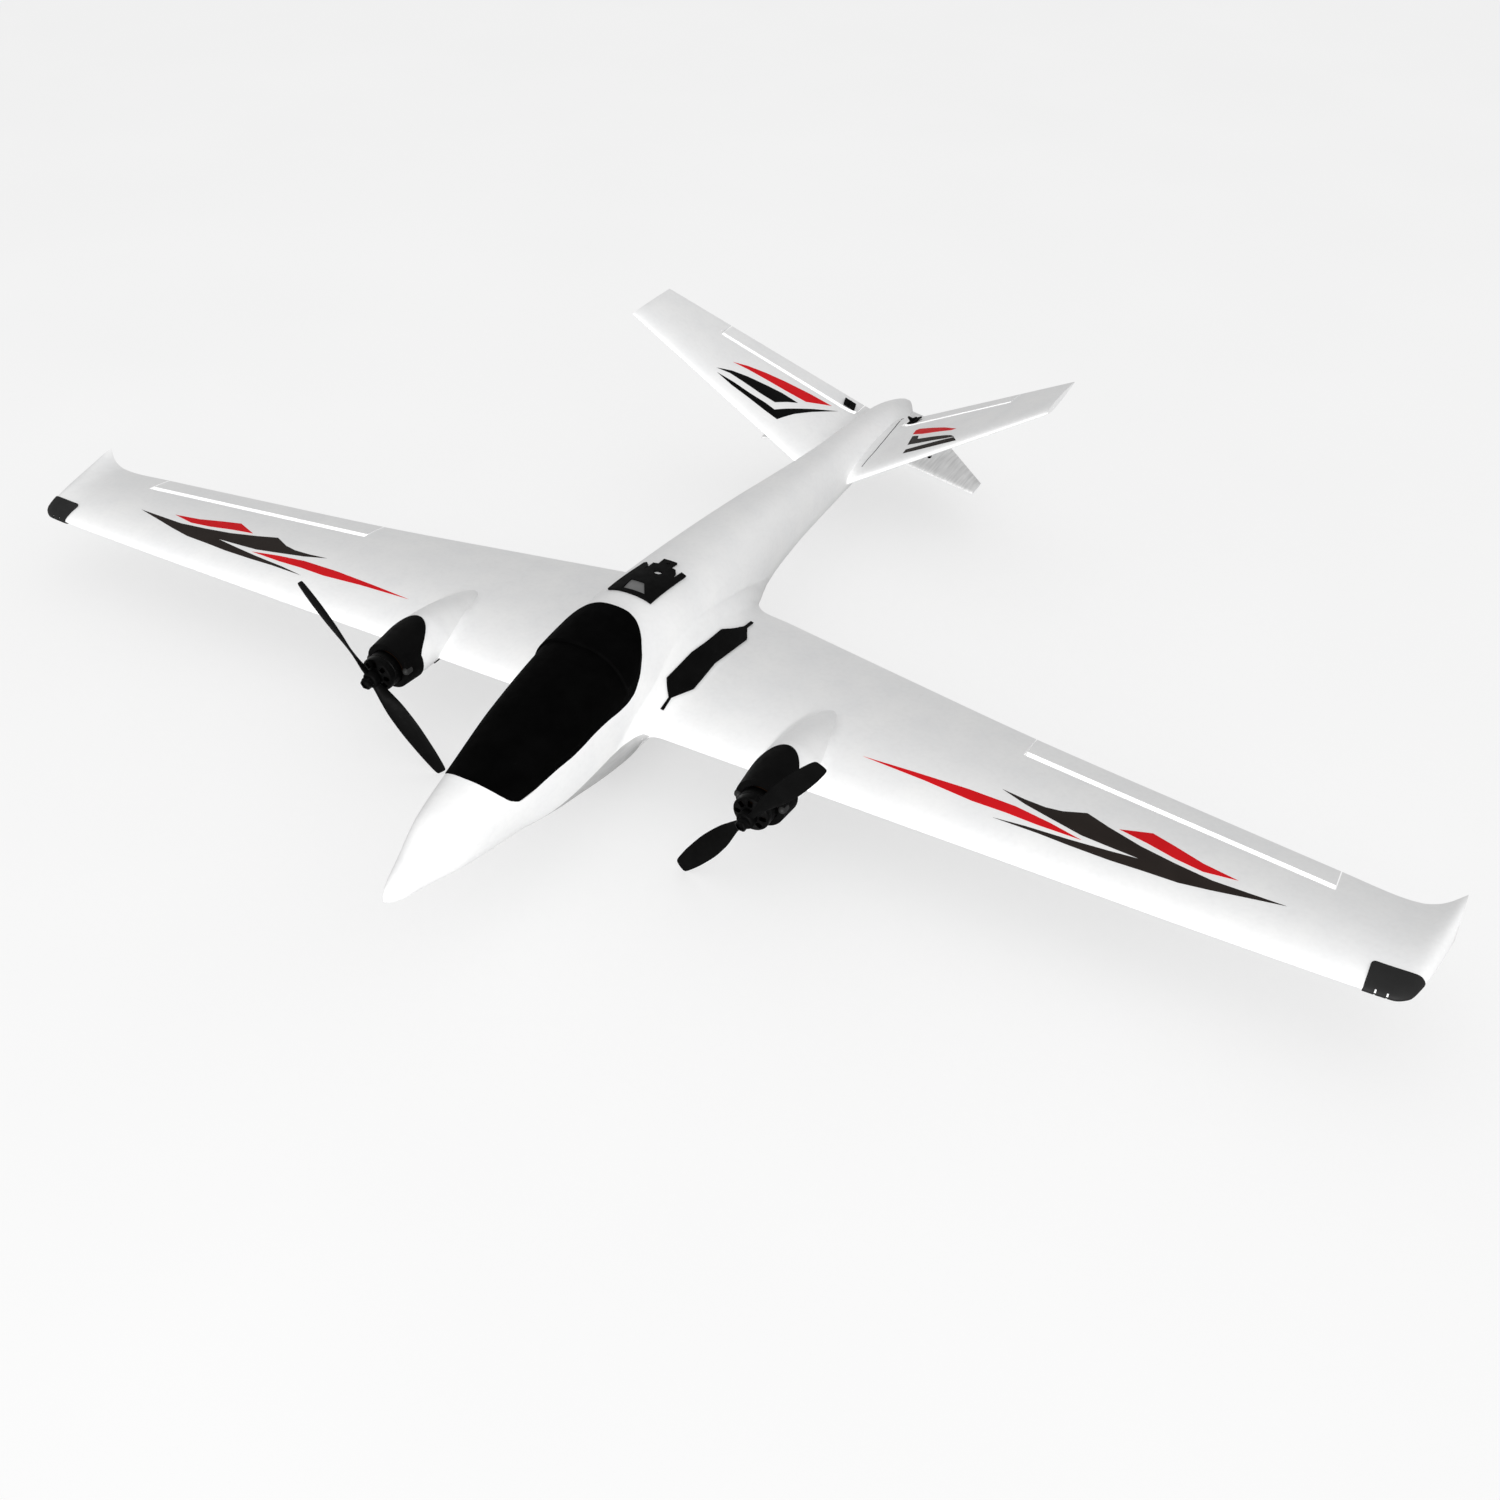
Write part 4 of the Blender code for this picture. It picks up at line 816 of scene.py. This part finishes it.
HATCH_RING = [*HATCH_OUTLINE, *((-x, s) for x, s in HATCH_OUTLINE[-2:0:-1])]
HATCH_EDGE = rounded_outline(HATCH_RING)


def fuselage():
    """Both moulded halves as one skin with its wing roots, opened for the bay and the hatch."""
    body = body_loft("foam_fuselage", 0, 816, 120)
    blends = [fairing("blend_" + label, side) for label, side in SIDES]
    boolean(body, *blends, operation="UNION")
    bay = body_loft("bay", 45, 600, 40, -SHELL_WALL, 64)
    rebate = prism("rebate", HATCH_EDGE, 20, 90)
    floor = body_loft("rebate_floor", 60, 320, 60, -HATCH_THICKNESS - GAP)
    boolean(rebate, floor)
    mouth = prism("mouth", rounded_outline(inset(HATCH_RING, 6)), 22, 80)
    boolean(body, bay, rebate, mouth)
    return dress(body, FOAM, "white_foam", "airframe", "fuselage_left", "fuselage_right")


def canopy():
    """The hatch follows the body, with a raised lip over its rear part."""
    step = 0.4
    rings = [body_section(s, HATCH_RISE, 128) for s in np.linspace(60, LIP_STATION - step, 54)]
    rings += [body_section(s, LIP_RISE, 128) for s in np.linspace(LIP_STATION + step, 290, 28)]
    hatch = new_object("canopy_shell", loft(rings, "canopy_shell"))
    inside = body_loft("hatch_inside", 50, 330, 50, -HATCH_THICKNESS)
    trim = prism("hatch_trim", inset(HATCH_EDGE, GAP), 20.3, 95)
    boolean(hatch, inside)
    boolean(hatch, trim, operation="INTERSECT")
    dress(hatch, HATCH_BLACK, "black_plastic", "canopy", "canopy_hatch")


# ---- wings


def wing(label, side):
    """A wing panel with its nacelle and its bays, and the aileron cut to match its hinge."""
    panel = wing_loft("foam_wing_" + label, side, 74.9, WING_TIP, with_collar=True)
    pod = nacelle("pod", side, first=209.5)
    boolean(panel, pod, operation="UNION")
    hinge = aileron_hinge(side)
    bay, trim = hinge_cutters(hinge, 45, 0.8, "aileron")
    pocket, slot = servo_cutters("aileron", side, hinge, *AILERON_SERVO)
    ends = sorted((side * (POD_X - 11.5), side * (POD_X + 11.5)))
    controller = box("controller_bay", (ends[0], 239.5, -40), (ends[1], 276.5, -7.4))
    boolean(panel, bay, pocket, slot, controller)
    surface = wing_loft("foam_aileron_" + label, side, 290, 540)
    boolean(surface, trim, operation="INTERSECT")
    dress(panel, FOAM, "white_foam", "airframe", "wing_" + label)
    dress(surface, FOAM, "white_foam", "aileron_" + label, "aileron_" + label)
    return panel


def wingtip_guard(label, side):
    """A thin plastic guard that wraps the leading edge, with two small tool notches."""
    start, thickness = 556, 1.2
    guard = wing_loft("tip_guard_" + label, side, start, WING_TIP, thickness, stretch=thickness)
    inner = wing_loft("inside", side, start, WING_TIP, GAP, stretch=GAP)
    ends = sorted((side * TIP_START, side * (WING_TIP + 10)))
    trim = box("trim", (ends[0], 225, -30), (ends[1], 258.5, 30), 3, segments=5)
    boolean(guard, inner)
    boolean(guard, trim, operation="INTERSECT")
    notches = []
    for x in (566.8, 574):
        low, high = sorted((side * x, side * (x + 1.1)))
        notches.append(box(f"notch_{x}", (low, 228, -12), (high, 241, 12)))
    boolean(guard, *notches)
    dress(guard, CHARCOAL, "black_plastic", "airframe", "wingtip_guard_" + label)


# ---- motors


def motor_frame(side):
    """The motor's own axes, with Z forward along its shaft from the motor's mounting face."""
    axes = Matrix(((1, 0, 0), (0, 0, -1), (0, 1, 0))).to_4x4()
    return Matrix.Translation(at_mm(side * POD_X, MOTOR_FACE, MOTOR_HEIGHT)) @ axes


def smooth_edge(points):
    """The dome's edge with its sloping run rounded, keeping the square corners behind it."""
    run = [np.array(p, float) for p in points[1:-1]]
    for _ in range(3):
        cut = [run[0]]
        for a, b in zip(run, run[1:]):
            cut += [a * 0.75 + b * 0.25, a * 0.25 + b * 0.75]
        run = cut + [run[-1]]
    return [points[0], *map(tuple, run), points[-1]]


def motor_mount(label, side):
    """Front bulkhead and dome over the nacelle, with a lamp on either side of the motor."""
    mount = nacelle("mount_" + label, side, 1.2, 201, 256)
    inner = nacelle("inside", side, GAP, 209.2, 262)
    reach = 40
    foot = [at_mm(side * POD_X - reach, s, h) for s, h in smooth_edge(DOME_EDGE)]
    slant = extruded("slant", foot, (2 * reach * MM, 0, 0))
    seat = cylinder("seat", 14.6, -GAP, 14, motor_frame(side), 64)
    boolean(mount, inner, slant, seat)
    dress(mount, BLACK, "black_plastic", "airframe", "motor_mount_" + label)
    for k, offset in enumerate((-17.3, 17.3)):
        place = motor_frame(side) @ Matrix.Translation((offset * MM, 0.9 * MM, 4.2 * MM))
        profile = [(0, 3.2), (1.3, 2.9), (2.4, 2.0), (3.0, 0.6), (3.1, -0.4), (3.1, -4), (0, -4)]
        lamp = turned(f"mount_lamp_{label}_{k}", profile, place, 32)
        dress(lamp, LENS_GREY, "black_plastic", "airframe")


def motor(label, side):
    """The bell on its shaft, with eight windows in its front."""
    place = motor_frame(side)
    profile = (
        (0, 32), (2.2, 32), (2.5, 31.7), (2.5, 20), (6, 20), (7.4, 19.2), (12.6, 18.5), (13.6, 18),
        (14, 17.2), (14, 13.2), (13.7, 12.9), (13.7, 12.1), (14, 11.8), (14, 5.2), (12.3, 5.2), (12.3, 15.6),
        (2.5, 15.6), (2.5, 0.8), (0, 0.8),
    )
    bell = turned("motor_can_" + label, profile, place, 72)
    windows = []
    for k in range(8):
        turn = place @ Matrix.Rotation(2 * math.pi * k / 8, 4, "Z")
        windows.append(box(f"window_{k}", (7.2, -1.9, 14), (12.0, 1.9, 22), 0.7, turn))
    boolean(bell, *windows)
    dress(bell, ANODISED, "black_metal", "rotor_" + label, "motor_bell_" + label)


# Blade: radius, chord, thickness
BLADE = (
    (4, 7, 4.2), (9, 8, 3.8), (18, 11, 2.6), (32, 15.5, 2.0), (50, 17.5, 1.7), (68, 16, 1.4),
    (82, 12.8, 1.1), (86.5, 11, 0.95), (88.2, 9.6, 0.85), (88.9, 7.6, 0.8),
)
BLADE_SECTION = smooth_outline(
    ((-0.5, 0), (-0.28, 0.45), (0.05, 0.6), (0.33, 0.42), (0.5, 0), (0.3, -0.25), (0, -0.4), (-0.3, -0.25)), 4
)


def blade(name, side, place):
    chord_at, thick_at = curve_through(BLADE, 1), curve_through(BLADE, 2)
    rings = []
    for radius in np.append(np.linspace(4, 84, 30), np.linspace(85, 88.9, 8)):
        pitch = math.atan(PROP_PITCH / (2 * math.pi * max(radius, 12)))
        ring = []
        for u, v in BLADE_SECTION:
            along, thick = u * chord_at(radius), v * thick_at(radius)
            y = along * math.cos(pitch) - thick * math.sin(pitch)
            z = along * math.sin(pitch) + thick * math.cos(pitch)
            ring.append(Vector((radius, side * y, z + PROP_LEVEL)) * MM)
        rings.append(ring)
    return new_object(name, loft(rings, name), place)


def propeller(label, side):
    place = motor_frame(side) @ Matrix.Rotation(side * PROP_ANGLE, 4, "Z")
    profile = (
        (2.6, 27.4), (5.2, 27.4), (5.8, 27.1), (6.4, 26.5), (6.6, 25.9), (6.6, 20.9), (6.2, 20.3),
        (2.6, 20.3),
    )
    hub = turned("airscrew_" + label, profile, place, 64)
    blades = [blade(f"blade_{k}", side, place @ Matrix.Rotation(k * math.pi, 4, "Z")) for k in (0, 1)]
    boolean(hub, *blades, operation="UNION")
    dress(hub, BLACK, "black_plastic", "rotor_" + label, "propeller_" + label)


# ---- tail


def tail(label, side):
    """A tail panel with its bays, and the ruddervator cut to match its hinge."""
    panel = tail_loft("foam_tail_" + label, side)
    surface = tail_loft("foam_ruddervator_" + label, side)
    hinge = tail_hinge(side)
    bay, trim = hinge_cutters(hinge, 60, 1.2, "ruddervator")
    pocket, slot = servo_cutters("ruddervator", side, hinge, *TAIL_SERVO)
    boolean(panel, bay, pocket, slot)
    boolean(surface, trim, operation="INTERSECT")
    dress(panel, FOAM, "white_foam", "airframe", "tail_panel_" + label)
    dress(surface, FOAM, "white_foam", "ruddervator_" + label, "ruddervator_" + label)
    return panel


def ventral_fin(label, side):
    """A flat fin below the tail, between two ends given as span position, leading, trailing and height."""
    root, tip = (21, 711, 800, -9.5), (112.5, 706, 727, -23)
    rings = []
    for x in np.append(np.linspace(7, 110, 26), (111.5, 112.3, 112.5)):
        t = (x - root[0]) / (tip[0] - root[0])
        out = max(t, 0)
        leading, trailing = (root[i] + (tip[i] - root[i]) * out for i in (1, 2))
        height = root[3] + (tip[3] - root[3]) * t
        half = (2.2 - 0.9 * out) * (1 - 0.5 * max(0, (x - 111) / 1.5) ** 2) * (1 + max(0, (30 - x) / 18) ** 2)
        ring = []
        for s, h, upper in aerofoil(20, camber=0.0):
            thick = min(1.0, abs(h) / 0.045) ** 0.8 * upper
            ring.append(at_mm(x, leading + s * (trailing - leading), height + thick * half))
        rings.append(mirrored(ring, side))
    fin = new_object("foam_fin_" + label, loft(rings, "fin"))
    dress(fin, STREAKED, "white_foam", "airframe", "ventral_fin_" + label)


# ---- plates and trim


# Outlines in plan, as (distance towards the tip, station); the root cover's run in its own leaning plane
ROOT_COVER = (
    (7.6, 382.8), (10, 383.3), (8.8, 372.9), (14.4, 360.1), (9.2, 316.8), (11.1, 283.3), (4.3, 265.6),
    (6.9, 253.8), (4.3, 252.9), (2.3, 264.3), (-9.5, 272.2), (-9.9, 306.7), (-7.4, 326.8), (-5.7, 348.5),
    (1, 360.5), (6.4, 372.3),
)
ACCESSORY = (
    (-18.6, 295.4), (18.7, 294.8), (19.7, 343.2), (15.5, 343.6), (14.8, 330.2), (13.9, 338.2), (11, 342.6),
    (7.9, 342.7), (6.7, 344.7), (7.3, 351.7), (-4.3, 351.6), (-4.1, 342.8), (-8.3, 342.4), (-8, 337.1),
    (-8.4, 327.7), (-10, 337.9), (-13.5, 342.2), (-15.8, 341.1),
)
WINDOW = ((-8.3, 311.8), (2.9, 311.5), (10.7, 299.1), (-7.4, 298.4))
WING_RED = (
    (203.9, 277.7), (241.2, 280), (282.9, 281.9), (317.6, 281.3), (343.9, 277.3), (368, 272),
    (337.2, 271.6), (314.3, 272.6), (289.3, 272.3), (252.7, 275.5),
)
WING_DARK = (
    (303.3, 293.1), (320.8, 290.8), (335.8, 290.1), (347.4, 292), (362.9, 298.7), (380.5, 292.2),
    (404.6, 285), (429.3, 280.4), (455.2, 276.9), (503, 277.5), (455.8, 268.1), (436.2, 265),
    (411.4, 264.4), (390.5, 263.5), (362.2, 263.9), (339.9, 264.8), (307.4, 264.7), (330.1, 267.1),
    (360.4, 268.8), (387.8, 271.2), (407.3, 273.4), (386.6, 274.6), (366.5, 276), (342.4, 281.5),
    (322.5, 286.3),
)
WING_SMALL = (
    (387, 293.8), (407.9, 301.5), (424.5, 296.4), (445.4, 289.4), (469.9, 285), (447.6, 281.7),
    (428, 284.6), (407.3, 289.9),
)
LEFT_TAIL_RED = (
    (55.4, 688.5), (53.2, 700.8), (56.4, 701.9), (74, 688.3), (91.8, 673.3), (109, 656), (104.2, 656.6),
    (90.4, 665.4), (68.8, 678),
)
LEFT_TAIL_UPPER = (
    (63.8, 657.4), (58.2, 681.4), (66.3, 675.7), (69.8, 665.5), (87.2, 656.4), (102.2, 647.8), (110.1, 642.1),
    (114.9, 636.5), (105.6, 639.6), (91.6, 645.8), (77.7, 651.4),
)
LEFT_TAIL_LOWER = (
    (67.4, 639), (67.2, 646), (81.2, 643.3), (100, 639.3), (115.2, 635.2), (120.4, 627.4), (109.8, 629.5),
    (91.3, 633.3), (78.6, 636.1),
)
RIGHT_TAIL_RED = (
    (120, 663.8), (110.3, 675.2), (97.2, 686.6), (81.7, 697.9), (62, 710.2), (43.3, 719.8), (58.6, 695.3),
    (75.6, 686.6), (92.9, 678.6), (108.1, 671.1),
)
RIGHT_TAIL_UPPER = (
    (124.7, 641), (115, 652.9), (103.4, 662.6), (89.2, 671.9), (76.2, 679.7), (61.9, 685.1), (67.5, 675.4),
    (73.9, 661.4), (87.2, 656.4), (101.9, 652.4), (114.5, 648.3),
)
RIGHT_TAIL_LOWER = (
    (121.7, 636.9), (107.1, 642.6), (92.3, 646.5), (78.1, 651.5), (69.9, 652.9), (63.4, 667.7), (51, 693.3),
    (36.5, 720.3), (49.1, 689.6), (57, 667.7), (63, 645.2), (73.5, 643.1), (91.1, 640.5), (106.4, 637.7),
)
TAIL_FLASHES = {
    "left": (LEFT_TAIL_RED, LEFT_TAIL_UPPER, LEFT_TAIL_LOWER),
    "right": (RIGHT_TAIL_RED, RIGHT_TAIL_UPPER, RIGHT_TAIL_LOWER),
}


def trim_flashes(label, side, panel, flashes):
    """Film shapes laid on the panel's upper skin."""
    target = surface_of(panel)
    for name, outline, film in flashes:
        ring = [(side * x, s) for x, s in outline]
        flash = draped(f"{name}_{label}", ring, [], target, 0.02, 0.12, 5.0)
        dress(flash, film, "white_foam", "airframe", sharp=60)


def root_cover(label, side, target):
    """A plate in the fillet over the wing root, laid on along the fillet's own slope."""
    lean = Matrix.Rotation(side * math.radians(42.4), 4, "Y")
    place = Matrix.Translation(at_mm(side * 53, 0, 18.5)) @ lean @ Matrix.Translation((0, 0, 50 * MM))
    ring = [(side * x, s) for x, s in ROOT_COVER]
    cover = draped("root_plate_" + label, ring, [], target, GAP, 1.7, 3.0, place)
    dress(cover, BLACK, "black_plastic", "airframe", "wing_root_cover_" + label)


# Side view of the band of painted shade: station, height
FLANK_SHADE_OUTLINE = (
    (104, -15.5), (128, -16.2), (148, -14), (165, -11), (183, -7), (200, -3.5), (213, -2), (225, -1.2),
    (233, -1.4), (236, -4), (236, -22), (225, -25), (200, -24), (165, -22), (128, -21), (104, -16.4),
)
SEAM = ((15, 764), (20.7, 727.4), (24.4, 696.2), (27, 668.6), (27.8, 640))


def tail_seam(label, side, panel):
    """The parting line where the tail panel's fillet meets the body."""
    edges = [(x + 0.35, s) for x, s in SEAM] + [(x - 0.35, s) for x, s in SEAM[::-1]]
    ring = [(side * x, s) for x, s in edges]
    line = draped("tail_seam_" + label, ring, [], surface_of(panel), 0.02, 0.1, 8.0)
    dress(line, CHARCOAL, "white_foam", "airframe")


def flank_painted_shade(label, side, target):
    """A band of painted shade low on the flank: darker, coarser foam standing in for the shade on a facet
    there.
    """
    turn = Matrix(((0, 0, side), (side, 0, 0), (0, 1, 0))).to_4x4()
    place = Matrix.Translation(at_mm(side * 120, 0, 0)) @ turn
    ring = [(side * s, z) for s, z in FLANK_SHADE_OUTLINE]
    band = draped("flank_painted_shade_" + label, ring, [], target, 0.02, 0.25, 4.0, place)
    dress(band, PAINTED_SHADE_FOAM, "white_foam", "airframe")


def accessory(target):
    """The plate on the spine, with a window and two small holes."""
    holes = [list(WINDOW), circle(2.5, 346.5, 1.5, 16), circle(2.9, 330.7, 3.6, 24, 0.8)]
    plate = draped("accessory_base", ACCESSORY, holes, target, 0.05, 1.8, 3.0)
    dress(plate, BLACK, "black_plastic", "airframe", "accessory_plate")
    window = draped("accessory_window", WINDOW, [], target, 0.05, 0.9, 3.0)
    dress(window, WINDOW_GREY, "black_plastic", "airframe")


# ---- the aeroplane


skin = surface_of(fuselage())
canopy()
accessory(skin)
for label, side in SIDES:
    panel = wing(label, side)
    wingtip_guard(label, side)
    flashes = (
        ("wing_flash_red", WING_RED, RED_FILM), ("wing_flash_dark", WING_DARK, DARK_FILM),
        ("wing_flash_small", WING_SMALL, RED_FILM),
    )
    trim_flashes(label, side, panel, flashes)
    motor_mount(label, side)
    motor(label, side)
    propeller(label, side)
    root_cover(label, side, skin)
    panel = tail(label, side)
    red, upper, lower = TAIL_FLASHES[label]
    dark = DARK_FILM if side > 0 else BLACK_FILM
    flashes = (
        ("tail_flash_red", red, RED_FILM), ("tail_flash_upper", upper, dark),
        ("tail_flash_lower", lower, dark),
    )
    trim_flashes(label, side, panel, flashes)
    if label == "left":
        tail_seam(label, side, panel)
    # Painted shade on the lower flank, laid as a grey foam band
    flank_painted_shade(label, side, skin)
    ventral_fin(label, side)

# The pieces that keep the CAD's shape get finished materials
SLOT_OF = {entry["node"]: entry["material_slot"] for entry in frame["record"]["subparts"]}
for name, node in frame["nodes"].items():
    if not node.hide_render:
        node.material_slots[0].material = CARRIED_OVER[SLOT_OF[name]]


# ---- floor, light and camera


SKY_STRENGTH = 0.7
# Light that the camera sees from the floor, which doesn't fall on the aeroplane
FLOOR_GLOW = 0.5
FLOOR_SIZE = 30
LAMP_POWER = 170
LAMP_WIDTH = 0.9
LAMP_DISTANCE = 4
LAMP_ANGLES = (18.5, 7)
CAMERA_ANGLES = (29.0, 39.8)
CAMERA_DISTANCE = 1.427
CAMERA_AIM = Vector((0, 0.072, -0.149))


def towards(turn, rise):
    """The direction at an angle round from the nose towards the left wing and an angle up, in degrees."""
    turn, rise = math.radians(turn), math.radians(rise)
    return Vector((math.sin(turn) * math.cos(rise), -math.cos(turn) * math.cos(rise), math.sin(rise)))


def pale_floor():
    """A pale floor that stays near white to the eye."""
    bm = bmesh.new()
    bmesh.ops.create_grid(bm, x_segments=2, y_segments=2, size=FLOOR_SIZE)
    mesh = bpy.data.meshes.new("floor")
    bm.to_mesh(mesh)
    bm.free()
    floor = new_object("floor", mesh, Matrix.Translation((0, 0, -0.0006)))
    paper = Finish("floor_paper", 0.95, specular=0.0)
    paper.colour(paper.ramp(paper.noise(3, 2), (0.3, 0.5), (0.7, 0.515)))
    seen = paper.tree.nodes.new("ShaderNodeLightPath").outputs["Is Camera Ray"]
    glow = paper.tree.nodes.new("ShaderNodeMath")
    glow.operation = "MULTIPLY"
    glow.inputs[1].default_value = FLOOR_GLOW
    paper.tree.links.new(seen, glow.inputs[0])
    paper.tree.links.new(glow.outputs[0], paper.shader.inputs["Emission Strength"])
    paper.shader.inputs["Emission Color"].default_value = (1, 1, 1, 1)
    mesh.materials.append(paper.material)


def even_sky():
    world = bpy.data.worlds.new("studio")
    bpy.context.scene.world = world
    world.use_nodes = True
    sky = world.node_tree.nodes["Background"]
    sky.inputs["Color"].default_value = (1, 1, 1, 1)
    sky.inputs["Strength"].default_value = SKY_STRENGTH


def nose_lamp():
    """A soft lamp low ahead of the nose, which casts no shadows."""
    lamp = bpy.data.lights.new("key", "AREA")
    lamp.energy = LAMP_POWER
    lamp.size = LAMP_WIDTH
    lamp.use_shadow = False
    made = new_object("key", lamp)
    made.location = towards(*LAMP_ANGLES) * LAMP_DISTANCE
    made.rotation_euler = (-made.location).to_track_quat("-Z", "Y").to_euler()


def camera():
    """The photo's viewpoint, level with the horizon."""
    back = towards(*CAMERA_ANGLES)
    right = Vector((-back.y, back.x, 0)).normalized()
    up = back.cross(right)
    lens = bpy.data.cameras.new("camera")
    lens.sensor_width = 36
    lens.lens = 36.264
    lens.clip_start = 0.05
    made = new_object("camera", lens)
    place = Matrix((right, up, back)).transposed().to_4x4()
    place.translation = CAMERA_AIM + back * CAMERA_DISTANCE
    made.matrix_world = place
    bpy.context.scene.camera = made


pale_floor()
even_sky()
nose_lamp()
camera()
bpy.context.scene.view_settings.view_transform = "Standard"
